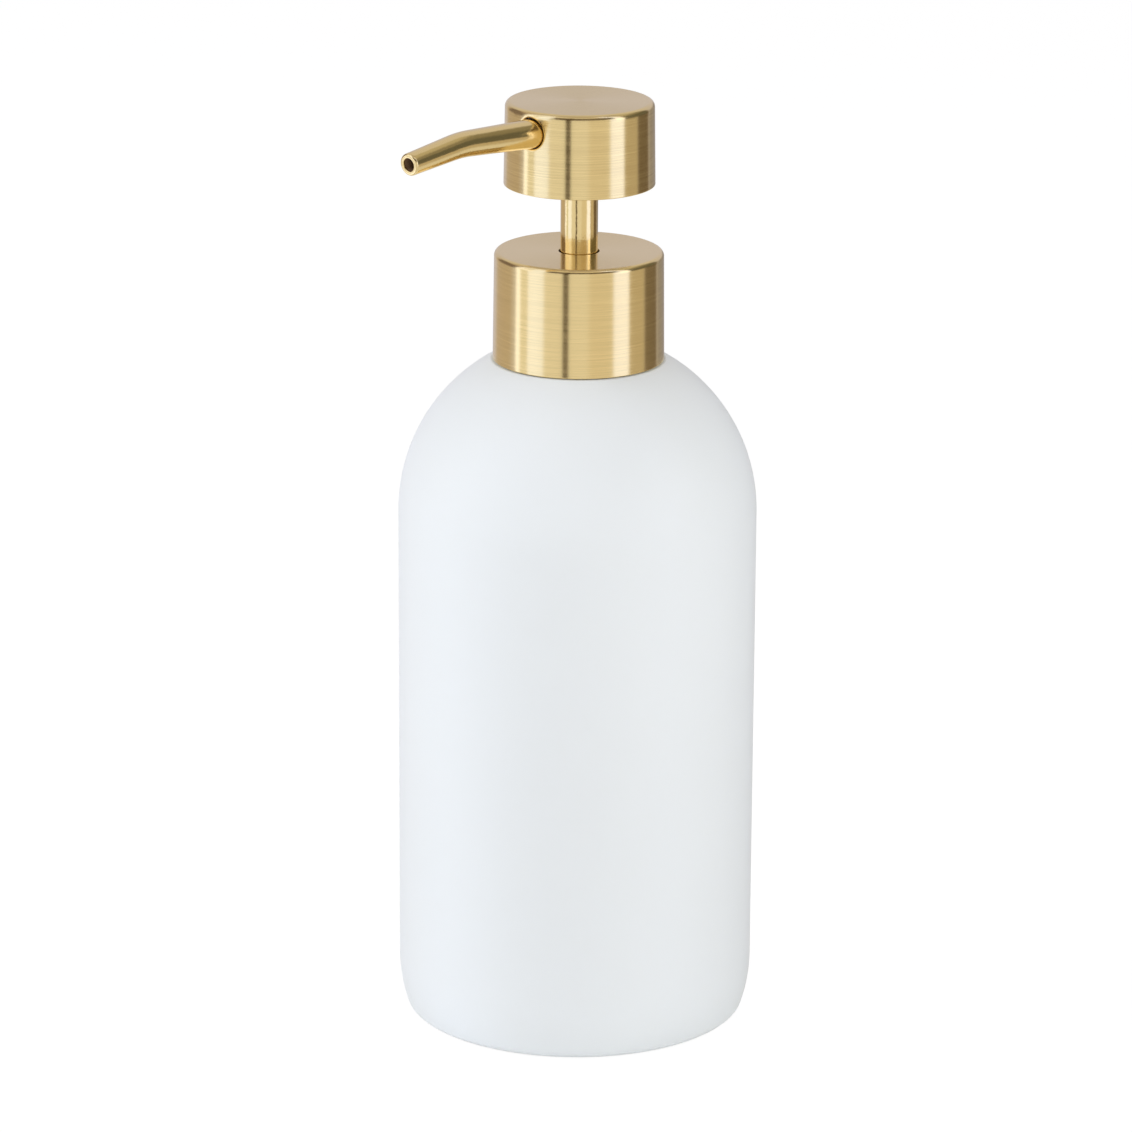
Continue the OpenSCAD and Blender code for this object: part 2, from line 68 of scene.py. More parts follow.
# Degrees in a radian.
DEGREES = 360 / TURN
WHITE: Colour = (1.0, 1.0, 1.0)
THREAD_PITCH = 4.2333 * MM
# Columns round the largest pieces, and round the others.
FINE = 256
ROUND = 192
# A smaller radius than this counts as none.
ON_AXIS = 1e-7
# The camera's bearing from the spout, in degrees.
FRONT = 41.0


class Body(Enum):
    """The moving bodies that new pieces ride on."""

    BOTTLE = "bottle"
    PUMP = "pump"
    CLOSURE = "closure"
    HEAD = "head"


class Look(Enum):
    """The looks that a piece can have."""

    CERAMIC = auto()
    BRUSHED = auto()
    COARSE_BRUSHED = auto()
    POLISHED = auto()
    # Painted shade: a dark sheet inside the spout's bore.
    BORE_SHADE = auto()
    WHITE_PLASTIC = auto()
    CLEAR_PLASTIC = auto()
    SOFT_RUBBER = auto()
    FOOT_RUBBER = auto()
    WIRE = auto()


class ThreadSide(Enum):
    """Which way a thread's ridge stands from its root."""

    OUTWARD = 1
    INWARD = -1


# ---------------------------------------------------------------------------------------------
# Shader building
# ---------------------------------------------------------------------------------------------


class Field:
    """A shader socket that Python expressions combine through Math nodes."""

    def __init__(self, graph: "Graph", socket: bpy.types.NodeSocket) -> None:
        """Keeps the socket and the graph that it belongs to."""
        self.graph = graph
        self.socket = socket

    def _math(self, operation: str, *values: "Field | float") -> "Field":
        """Adds one Math node with these values at its inputs."""
        return self.graph.field("ShaderNodeMath", {"operation": operation}, dict(enumerate(values)))

    def __add__(self, other: "Field | float") -> "Field":
        """Sum."""
        return self._math("ADD", self, other)

    def __radd__(self, other: float) -> "Field":
        """Sum with a number on the left."""
        return self._math("ADD", other, self)

    def __sub__(self, other: "Field | float") -> "Field":
        """Difference."""
        return self._math("SUBTRACT", self, other)

    def __rsub__(self, other: float) -> "Field":
        """Difference with a number on the left."""
        return self._math("SUBTRACT", other, self)

    def __mul__(self, other: "Field | float") -> "Field":
        """Product."""
        return self._math("MULTIPLY", self, other)

    def __rmul__(self, other: float) -> "Field":
        """Product with a number on the left."""
        return self._math("MULTIPLY", other, self)

    def __truediv__(self, other: "Field | float") -> "Field":
        """Quotient."""
        return self._math("DIVIDE", self, other)

    def __rtruediv__(self, other: float) -> "Field":
        """Quotient with a number on the left."""
        return self._math("DIVIDE", other, self)

    def swing(self, width: "Field | float") -> "Field":
        """Turns a value about 0.5 into one about 0, this many times as wide."""
        return (self - 0.5) * width

    def root(self) -> "Field":
        """Square root."""
        return self._math("SQRT", self)

    def arc_cosine(self) -> "Field":
        """Arc cosine, in radians."""
        return self._math("ARCCOSINE", self)

    def arc_sine(self) -> "Field":
        """Arc sine, in radians."""
        return self._math("ARCSINE", self)

    def largest(self, other: "Field | float") -> "Field":
        """The larger of two values."""
        return self._math("MAXIMUM", self, other)

    def step(self, start: float, end: float) -> "Field":
        """Smooth step from 0 at one value to 1 at another.

        Args:
            start: The value at which the step is 0.
            end: The value at which the step is 1.

        Returns:
            The step, between 0 and 1.
        """
        return self.graph.field(
            "ShaderNodeMapRange",
            {"interpolation_type": "SMOOTHSTEP"},
            {"Value": self, "From Min": start, "From Max": end},
        )


class Graph:
    """The node tree of one material or world, with short ways to add nodes to it."""

    def __init__(self, tree: bpy.types.NodeTree) -> None:
        """Empties the tree and keeps it."""
        tree.nodes.clear()
        self.tree = tree

    def node(
        self, kind: str, settings: dict | None = None, inputs: dict | None = None
    ) -> bpy.types.Node:
        """Adds a node, sets its settings first and then feeds its sockets.

        Args:
            kind: The node's type.
            settings: The node's own settings.
            inputs: A value, field or socket for each input, by name or number.

        Returns:
            The new node.
        """
        made = self.tree.nodes.new(kind)
        for key, value in (settings or {}).items():
            setattr(made, key, value)
        for key, value in (inputs or {}).items():
            self._feed(made.inputs[key], value)
        return made

    def _feed(self, socket: bpy.types.NodeSocket, value: object) -> None:
        """Links a field or socket to an input, or sets the input to a value.

        Args:
            socket: The input.
            value: A field, a socket, a number, a colour or a vector.
        """
        if isinstance(value, Field):
            value = value.socket
        if isinstance(value, bpy.types.NodeSocket):
            self.tree.links.new(value, socket)
        elif socket.type == "RGBA":
            socket.default_value = (*value, 1.0)
        else:
            socket.default_value = value

    def field(
        self, kind: str, settings: dict | None = None, inputs: dict | None = None, output: str | int = 0
    ) -> Field:
        """Adds a node and wraps one of its outputs."""
        return Field(self, self.node(kind, settings, inputs).outputs[output])

    def blend(self, amount: Field | float, first: object, second: object) -> Field:
        """Mixes two colours: an amount of 0 gives the first and 1 the second."""
        return self.field("ShaderNodeMix", {"data_type": "RGBA"}, {0: amount, 6: first, 7: second}, 2)

    def vector(self, operation: str, *values: object, output: str | int = 0) -> Field:
        """Adds a Vector Math node with these values at its inputs."""
        inputs = dict(enumerate(values))
        return self.field("ShaderNodeVectorMath", {"operation": operation}, inputs, output)

    def place(self) -> Field:
        """The point on the piece, in its own rest frame."""
        return self.field("ShaderNodeTexCoord", output="Object")

    def split(self, vector: Field) -> tuple[Field, Field, Field]:
        """Splits a vector into its three parts."""
        parts = self.node("ShaderNodeSeparateXYZ", inputs={0: vector})
        return tuple(Field(self, socket) for socket in parts.outputs)

    def noise(self, where: Field, scale: float, detail: float = 2.0) -> Field:
        """Smooth noise about 0.5, with so many repeats in a metre and so many finer layers."""
        return self.field("ShaderNodeTexNoise", None, {"Vector": where, "Scale": scale, "Detail": detail})

    def bump(self, height: Field, depth: float) -> Field:
        """Turns a height between 0 and 1 into a bumped normal; a height of 1 is this deep."""
        return self.field("ShaderNodeBump", None, {"Strength": 1.0, "Distance": depth, "Height": height})


@dataclass(frozen=True)
class Finish:
    """What every finish has: a name, its material slot, a colour, a roughness and a reflectance."""

    name: str
    slot: str
    colour: Colour
    roughness: float
    metallic: float = 0.0
    ior: float = 1.5

    def material(self) -> bpy.types.Material:
        """Makes the material.

        Returns:
            The material, with its nodes in place.
        """
        made = bpy.data.materials.new(self.name)
        made.use_nodes = True
        made.diffuse_color = (*self.colour, 1.0)
        graph = Graph(made.node_tree)
        constant = {"Metallic": self.metallic, "IOR": self.ior}
        shader = graph.node("ShaderNodeBsdfPrincipled", None, constant | self.surface(graph))
        graph.node("ShaderNodeOutputMaterial", None, {"Surface": shader.outputs[0]})
        return made

    def surface(self, graph: Graph) -> dict:
        """Gives what feeds the surface shader's inputs; each finish has its own."""
        raise NotImplementedError(self.name)

    def shade(self, graph: Graph, amount: Field, spread: float) -> Field:
        """Varies the finish's colour in brightness.

        Args:
            graph: The material's graph.
            amount: 0 for the darker shade, 1 for the lighter one.
            spread: How far the shades lie from the colour.

        Returns:
            The varied colour.
        """
        dark = tuple(c * (1 - spread) for c in self.colour)
        light = tuple(min(1.0, c * (1 + spread)) for c in self.colour)
        return graph.blend(amount, dark, light)


@dataclass(frozen=True)
class MattGlaze(Finish):
    """Satin-matt white glaze with a faint orange-peel surface, and a dry foot ring."""

    clay: Colour = (0.70, 0.665, 0.61)
    glaze_starts: float = 0.15 * MM
    glaze_covers: float = 0.35 * MM

    def surface(self, graph: Graph) -> dict:
        """Feeds the surface shader with the glaze and the bare clay under the foot.

        Args:
            graph: The material's graph.

        Returns:
            What feeds the shader's inputs.
        """
        where = graph.place()
        peel = graph.noise(where, scale=420.0, detail=2.0)
        powder = graph.noise(where, scale=2600.0, detail=3.0)
        cloud = graph.noise(where, scale=28.0, detail=3.0)
        bare = graph.split(where)[2].step(self.glaze_covers, self.glaze_starts)
        clay = graph.blend(powder, tuple(c * 0.93 for c in self.clay), self.clay)
        glaze = self.shade(graph, cloud, 0.012)
        rough = self.roughness + cloud.swing(0.06) + powder.swing(0.08)
        return {
            "Base Color": graph.blend(bare, glaze, clay),
            "Roughness": rough + bare * 0.4,
            "Normal": graph.bump(peel + powder * 0.25 + bare * powder, 0.012 * MM),
        }


@dataclass(frozen=True)
class TurnedMetal(Finish):
    """Metal brushed round its axis, so that highlights stretch across the brushing.

    The stretch is the strength of that effect, the line the width of one brush line, the contrast
    how far the lines lie from the colour, and the calm how much of them a level face loses.
    """

    stretch: float = 0.8
    line: float = 0.22 * MM
    contrast: float = 0.06
    calm: float = 0.75
    quarter_turn: float = 0.25
    off_axis: float = 1e-9

    def surface(self, graph: Graph) -> dict:
        """Feeds the surface shader with fine lines that run round the piece.

        Args:
            graph: The material's graph.

        Returns:
            What feeds the shader's inputs.
        """
        x, y, z = graph.split(graph.place())
        radius = (x * x + y * y + self.off_axis).root()
        across = (z + radius) / self.line
        way = (x / radius, y / radius)
        fine = self._lines(graph, way, across, spread=1.2)
        broad = self._lines(graph, way, across * 0.23, spread=0.5)
        streak = self._lines(graph, way, across * 0.8 + 40.0, spread=1.0).step(0.56, 0.70)
        smudge = graph.noise(graph.place(), scale=110.0, detail=3.0)
        face = graph.split(graph.field("ShaderNodeTexCoord", output="Normal"))[2]
        strength = 1.0 - face.step(0.6, 0.95) * self.calm
        lines = (fine * 0.82 + broad * 0.18).swing(strength) + 0.5
        shade = (lines.step(0.3, 0.7) * 0.7 + streak * 0.4).swing(strength) + 0.5
        return {
            "Base Color": self.shade(graph, shade, self.contrast),
            "Roughness": self.roughness + lines.swing(0.15) + smudge.swing(0.03),
            "Anisotropic": self.stretch,
            "Anisotropic Rotation": self.quarter_turn,
            "Normal": graph.bump(lines, 0.002 * MM),
        }

    @staticmethod
    def _lines(graph: Graph, way: tuple[Field, Field], across: Field, spread: float) -> Field:
        """Noise that is long round the piece, for the way out from its axis, and short across.

        Args:
            graph: The material's graph.
            way: The level direction from the axis.
            across: Number of lines up or out to the point.
            spread: How often a line changes on its way round.

        Returns:
            The noise.
        """
        x, y = way
        where = graph.field("ShaderNodeCombineXYZ", None, {0: x * spread, 1: y * spread, 2: across})
        return graph.noise(where, scale=1.0, detail=1.0)


@dataclass(frozen=True)
class PolishedMetal(Finish):
    """Bright metal with faint polishing marks."""

    mark_stretch: tuple[float, float, float] = (1.0, 0.12, 1.0)

    def surface(self, graph: Graph) -> dict:
        """Feeds the surface shader with faint marks.

        Args:
            graph: The material's graph.

        Returns:
            What feeds the shader's inputs.
        """
        where = graph.place()
        haze = graph.noise(where, scale=180.0, detail=3.0)
        along = graph.vector("MULTIPLY", where, self.mark_stretch)
        marks = graph.noise(along, scale=3200.0, detail=2.0)
        ripple = graph.noise(where, scale=1000.0, detail=2.0)
        return {
            "Base Color": self.shade(graph, haze, 0.02),
            "Roughness": self.roughness + haze.swing(0.03) + marks.swing(0.06),
            "Normal": graph.bump(ripple + marks * 0.3, 0.02 * MM),
        }


@dataclass(frozen=True)
class MouldedPlastic(Finish):
    """Injection-moulded plastic with a fine spark-eroded texture and slight flow marks."""

    flow_stretch: tuple[float, float, float] = (1.0, 1.0, 0.25)

    def surface(self, graph: Graph) -> dict:
        """Feeds the surface shader with the mould's texture.

        Args:
            graph: The material's graph.

        Returns:
            What feeds the shader's inputs.
        """
        where = graph.place()
        texture = graph.noise(where, scale=5200.0, detail=3.0)
        filled = graph.vector("MULTIPLY", where, self.flow_stretch)
        flow = graph.noise(filled, scale=220.0, detail=3.0)
        return {
            "Base Color": self.shade(graph, flow, 0.025),
            "Roughness": self.roughness + texture.swing(0.14) + flow.swing(0.08),
            "Normal": graph.bump(texture + flow * 0.6, 0.006 * MM),
        }


@dataclass(frozen=True)
class SoftRubber(Finish):
    """Matt rubber with a dusty, speckled skin."""

    def surface(self, graph: Graph) -> dict:
        """Feeds the surface shader with the rubber's skin.

        Args:
            graph: The material's graph.

        Returns:
            What feeds the shader's inputs.
        """
        where = graph.place()
        skin = graph.noise(where, scale=3800.0, detail=4.0)
        dust = graph.noise(where, scale=160.0, detail=4.0).step(0.45, 0.8)
        dusty = tuple(0.75 * c + 0.12 for c in self.colour)
        return {
            "Base Color": graph.blend(dust * 0.5, self.shade(graph, skin, 0.1), dusty),
            "Roughness": self.roughness + skin.swing(0.15) + dust * 0.08,
            "Normal": graph.bump(skin, 0.02 * MM),
        }


class Workshop:
    """Holds one material for each look and puts it on new pieces and carried-over CAD nodes."""

    FINISHES = {
        Look.CERAMIC: MattGlaze("matt_glaze", "ceramic_white", (0.838, 0.878, 0.874), 0.46),
        Look.BRUSHED: TurnedMetal("brushed_gold", "gold_brushed", (0.93, 0.73, 0.37), 0.20, 1.0),
        Look.COARSE_BRUSHED: TurnedMetal(
            "coarse_brushed_gold", "gold_brushed", (0.93, 0.73, 0.37), 0.20, 1.0, contrast=0.09
        ),
        Look.POLISHED: PolishedMetal("polished_gold", "gold_polished", (0.92, 0.72, 0.36), 0.145, 1.0),
        # Painted shade: this dark colour stands in for the shade deep inside the spout's bore.
        Look.BORE_SHADE: PolishedMetal("bore_painted_shade", "gold_polished", (0.16, 0.09, 0.045), 0.60, 0.6),
        Look.WHITE_PLASTIC: MouldedPlastic("white_plastic", "plastic_white", (0.80, 0.80, 0.79), 0.42),
        Look.CLEAR_PLASTIC: MouldedPlastic("clear_plastic", "plastic_natural", (0.72, 0.74, 0.73), 0.34),
        Look.SOFT_RUBBER: SoftRubber("grey_rubber", "rubber_grey", (0.28, 0.28, 0.29), 0.62),
        Look.FOOT_RUBBER: SoftRubber("foot_rubber", "foot_rubber", (0.20, 0.20, 0.21), 0.70),
        Look.WIRE: TurnedMetal("spring_steel", "steel_wire", (0.56, 0.56, 0.57), 0.30, 1.0, stretch=0.3),
    }

    def __init__(self) -> None:
        """Makes the materials."""
        self.materials = {look: finish.material() for look, finish in self.FINISHES.items()}

    def paint(self, piece: bpy.types.Object, look: Look) -> None:
        """Gives a piece the look's material."""
        piece.data.materials.clear()
        piece.data.materials.append(self.materials[look])

    def fit(self, piece: bpy.types.Object, look: Look, body: Body, *nodes: str) -> None:
        """Paints a new piece, puts it on its body and lets it stand for CAD nodes.

        Args:
            piece: The piece.
            look: Its look.
            body: The body that it moves with.
            nodes: The CAD nodes that it stands for.
        """
        self.paint(piece, look)
        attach(piece, body.value)
        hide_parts(*nodes)
        LOG.info("%s: %d faces, on %s", piece.name, len(piece.data.polygons), body.value)

    def keep(self, node: str, look: Look) -> None:
        """Paints a CAD node that is shown as it is."""
        self.paint(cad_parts[node], look)
        LOG.info("%s: CAD node kept", node)


# ---------------------------------------------------------------------------------------------
# Mesh building
# ---------------------------------------------------------------------------------------------


@dataclass(frozen=True)
class Extent:
    """Where a CAD node is: its heights and how far it reaches from the axis."""

    low: float
    top: float
    radius: float

    @classmethod
    def of(cls, node: str) -> "Extent":
        """Reads a node's box."""
        lowest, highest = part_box(node)
        return cls(lowest.z, highest.z, highest.x)


@dataclass
class Outline:
    """A line in the plane of radius and height, made of corners, fillets and arcs.

    A support is a point near the end of a long side; it keeps the shading of the side flat. The
    fillet step is the turn between two points of a fillet, in degrees, and the fillet share the
    largest part of a side that a fillet takes up.
    """

    closed: bool = True
    corners: list[tuple[float, float, float]] = field(default_factory=list)
    support: float = 0.12 * MM
    fillet_step: float = 9.0
    fillet_share: float = 0.49

    def to(self, radius: float, height: float, fillet: float = 0.0) -> "Outline":
        """Adds a corner, rounded off by the fillet, and gives the outline for the next call."""
        self.corners.append((radius, height, fillet))
        return self

    def arc(
        self, centre: Point, radius: float, start: float, end: float, steps: int
    ) -> "Outline":
        """Adds an arc.

        Args:
            centre: The arc's centre.
            radius: Its radius.
            start: The angle at which it starts, in degrees.
            end: The angle at which it ends.
            steps: How many straight pieces it has.

        Returns:
            The outline, so that calls can be chained.
        """
        for i in range(steps + 1):
            angle = math.radians(start + (end - start) * i / steps)
            self.to(centre[0] + radius * math.cos(angle), centre[1] + radius * math.sin(angle))
        return self

    def trace(self) -> list[Point]:
        """Works out the line, with its fillets and a support point near each end of a long side.

        Returns:
            The points in order.
        """
        rounded: list[list[Point]] = []
        count = len(self.corners)
        for i, (radius, height, fillet) in enumerate(self.corners):
            here = Vector((radius, height))
            if fillet <= 0 or (not self.closed and i in (0, count - 1)):
                rounded.append([(radius, height)])
                continue
            back = Vector(self.corners[i - 1][:2]) - here
            ahead = Vector(self.corners[(i + 1) % count][:2]) - here
            rounded.append(self._fillet(here, back, ahead, fillet))
        points: list[Point] = []
        for i, piece in enumerate(rounded):
            points.extend(piece)
            if i + 1 < count or self.closed:
                points.extend(self._supports(piece[-1], rounded[(i + 1) % count][0]))
        return points

    def _fillet(self, here: Vector, back: Vector, ahead: Vector, fillet: float) -> list[Point]:
        """Rounds off one corner.

        Args:
            here: The corner.
            back: The way to the corner before it.
            ahead: The way to the corner after it.
            fillet: The rounding radius.

        Returns:
            The points of the rounding.
        """
        half = back.angle(ahead) / 2
        most = self.fillet_share
        reach = min(fillet / math.tan(half), most * back.length, most * ahead.length)
        fillet = reach * math.tan(half)
        inwards = (back.normalized() + ahead.normalized()).normalized()
        centre = here + inwards * (fillet / math.sin(half))
        steps = max(3, round(math.degrees(math.pi - 2 * half) / self.fillet_step))
        first = here + back.normalized() * reach - centre
        last = here + ahead.normalized() * reach - centre
        whole = first.angle_signed(last)
        found = []
        for i in range(steps + 1):
            spoke = first.copy()
            spoke.rotate(Matrix.Rotation(-whole * i / steps, 2))
            found.append(tuple(centre + spoke))
        return found

    def _supports(self, start: Point, end: Point) -> list[Point]:
        """Finds the support points of one side.

        Args:
            start: Where the side starts.
            end: Where it ends.

        Returns:
            Two points, or none on a short side.
        """
        a, b = Vector(start), Vector(end)
        length = (b - a).length
        if length < 5 * self.support:
            return []
        share = self.support / length
        return [tuple(a.lerp(b, share)), tuple(a.lerp(b, 1 - share))]


@dataclass(frozen=True)
class Taper:
    """A width that changes in straight steps along a line."""

    stops: tuple[Point, ...]

    def at(self, along: float) -> float:
        """Finds the width.

        Args:
            along: Distance along the line.

        Returns:
            The width there.
        """
        if along <= self.stops[0][0]:
            return self.stops[0][1]
        for (a, first), (b, second) in zip(self.stops, self.stops[1:]):
            if along <= b:
                return first + (second - first) * (along - a) / (b - a)
        return self.stops[-1][1]


class Skin:
    """The outline of a drawn shell, read by distance along it."""

    SEARCH_STEPS = 400
    MERGE = 0.01 * MM
    SLACK = 1e-12

    def __init__(self, points: list[Point]) -> None:
        """Measures the outline.

        Args:
            points: Its points in order.
        """
        self.points = points
        self.marks = [0.0]
        for first, second in zip(points, points[1:]):
            self.marks.append(self.marks[-1] + math.dist(first, second))
        self.length = self.marks[-1]

    def at(self, along: float) -> Point:
        """Finds a point of the outline.

        Args:
            along: Distance along it.

        Returns:
            Its radius and height.
        """
        for i, (start, end) in enumerate(zip(self.marks, self.marks[1:])):
            if along <= end + self.SLACK:
                share = (along - start) / (end - start)
                (r0, z0), (r1, z1) = self.points[i], self.points[i + 1]
                return r0 + (r1 - r0) * share, z0 + (z1 - z0) * share
        return self.points[-1]

    def farthest_down(self) -> float:
        """Distance along the outline of its lowest point."""
        return self.marks[min(range(len(self.points)), key=lambda i: self.points[i][1])]

    def at_height(self, height: float, low: float, high: float) -> float:
        """Finds where the stretch between two distances comes nearest to a height."""
        steps = [low + (high - low) * i / self.SEARCH_STEPS for i in range(self.SEARCH_STEPS + 1)]
        return min(steps, key=lambda s: abs(self.at(s)[1] - height))

    def nearest_radius(self, height: float, low: float, high: float) -> float:
        """Radius of the stretch at a height."""
        return self.at(self.at_height(height, low, high))[0]

    def window(self, centre: float, reach: float, low: float, high: float) -> Point:
        """Finds where a window starts and ends that reaches this far either way of a height."""
        middle = self.at_height(centre, low, high)
        return middle - reach, middle + reach

    def rows(self, windows: Sequence[Point], count: int) -> list[float]:
        """Lists the rows of the shell's grid: the outline's own points, and even rows in windows.

        Args:
            windows: The windows.
            count: How many rows each window has.

        Returns:
            The distances along the outline, in order.
        """
        own = [
            s for s in self.marks
            if all(not a - self.MERGE < s < b + self.MERGE for a, b in windows)
        ]
        for start, end in windows:
            own += [start + (end - start) * i / count for i in range(count + 1)]
        return sorted(own)


class Mesh:
    """Collects vertices and faces, and turns them into a smooth-shaded object."""

    def __init__(self, name: str) -> None:
        """Starts an empty mesh."""
        self.name = name
        self.bm = bmesh.new()

    def ring(self, points: Sequence[Sequence[float]]) -> list[bmesh.types.BMVert]:
        """Adds a vertex at each point."""
        return [self.bm.verts.new(point) for point in points]

    def circle(self, radius: float, height: float, segments: int) -> list[bmesh.types.BMVert]:
        """Adds a level circle about the axis, or one vertex where its radius is nothing.

        Args:
            radius: Its radius.
            height: Its height.
            segments: Its number of vertices.

        Returns:
            The vertices.
        """
        if radius < ON_AXIS:
            return self.ring([(0.0, 0.0, height)])
        steps = [TURN * i / segments for i in range(segments)]
        return self.ring([(radius * math.cos(a), radius * math.sin(a), height) for a in steps])

    def bridge(
        self, first: list[bmesh.types.BMVert], second: list[bmesh.types.BMVert], closed: bool = True
    ) -> None:
        """Joins two rings by faces; either may be a single vertex.

        Args:
            first: One ring.
            second: The other ring.
            closed: Whether the rings close on themselves.
        """
        count = max(len(first), len(second))
        for i in range(count if closed else count - 1):
            j = (i + 1) % count
            corners = [first[i % len(first)], first[j % len(first)]]
            corners += [second[j % len(second)], second[i % len(second)]]
            self.bm.faces.new(list(dict.fromkeys(corners)))

    def lathe(self, outline: Outline, segments: int = ROUND) -> None:
        """Turns an outline round the axis.

        Args:
            outline: The outline.
            segments: How many steps the turn has.
        """
        rings = [self.circle(r, z, segments) for r, z in outline.trace()]
        for first, second in zip(rings, rings[1:]):
            self.bridge(first, second)
        if outline.closed:
            self.bridge(rings[-1], rings[0])

    def chain(self, rings: Sequence[list[bmesh.types.BMVert]], closed: bool = False) -> None:
        """Joins each ring to the next one.

        Args:
            rings: The rings in order.
            closed: Whether the last ring joins the first; otherwise both get a flat end.
        """
        for first, second in zip(rings, rings[1:]):
            self.bridge(first, second)
        if closed:
            self.bridge(rings[-1], rings[0])
        else:
            self.bm.faces.new(rings[0])
            self.bm.faces.new(rings[-1])

    def finish(self) -> bpy.types.Object:
        """Makes the object, smooth-shaded, with its faces turned outwards.

        Returns:
            The object.
        """
        bmesh.ops.recalc_face_normals(self.bm, faces=self.bm.faces)
        for face in self.bm.faces:
            face.smooth = True
        data = bpy.data.meshes.new(self.name)
        self.bm.to_mesh(data)
        self.bm.free()
        made = bpy.data.objects.new(self.name, data)
        bpy.context.scene.collection.objects.link(made)
        return made


@dataclass(frozen=True)
class Thread:
    """The ridge of a screw thread, which fades in and out at its ends.

    The root is the radius that the ridge stands on, and sunk is how deep it reaches under it. The
    half widths are shares of the pitch, and the fade is how many times a turn is longer than one
    fading end.
    """

    root: float
    height: float
    side: ThreadSide
    pitch: float = THREAD_PITCH
    sunk: float = 0.15 * MM
    foot_half: float = 0.30
    crest_half: float = 0.13
    fade: float = 6.0
    thinnest: float = 0.02
    steps_per_turn: int = 96

    def add_to(self, mesh: Mesh, start: float, end: float) -> None:
        """Adds the ridge to a mesh.

        Args:
            mesh: The mesh.
            start: Height of the ridge's first middle point.
            end: Height of its last one.
        """
        turns = (end - start) / self.pitch
        steps = round(turns * self.steps_per_turn)
        rings = []
        for i in range(steps + 1):
            done = i / steps * turns
            grown = min(1.0, self.fade * done, self.fade * (turns - done))
            grown = max(self.thinnest, grown * grown * (3 - 2 * grown))
            rings.append(mesh.ring(self._section(TURN * done, start + self.pitch * done, grown)))
        mesh.chain(rings)

    def _section(self, angle: float, middle: float, grown: float) -> list[tuple[float, ...]]:
        """Works out one section of the ridge.

        Args:
            angle: Where it is on its way round the axis.
            middle: The height of its middle.
            grown: How much of its full size it has.

        Returns:
            Its four corners.
        """
        crest = self.height * grown
        width = 0.5 + 0.5 * grown
        corners = (
            (-self.sunk, self.foot_half),
            (crest, self.crest_half),
            (crest, -self.crest_half),
            (-self.sunk, -self.foot_half),
        )
        points = []
        for out, up in corners:
            radius = self.root + self.side.value * out
            height = middle + self.pitch * up * width
            points.append((radius * math.cos(angle), radius * math.sin(angle), height))
        return points


def turned(name: str, outline: Outline, segments: int = ROUND) -> bpy.types.Object:
    """Makes a piece by turning one outline.

    Args:
        name: The piece's name.
        outline: Its outline.
        segments: How many steps the turn has.

    Returns:
        The piece.
    """
    mesh = Mesh(name)
    mesh.lathe(outline, segments)
    return mesh.finish()


# ---------------------------------------------------------------------------------------------
# Sub-assemblies
# ---------------------------------------------------------------------------------------------


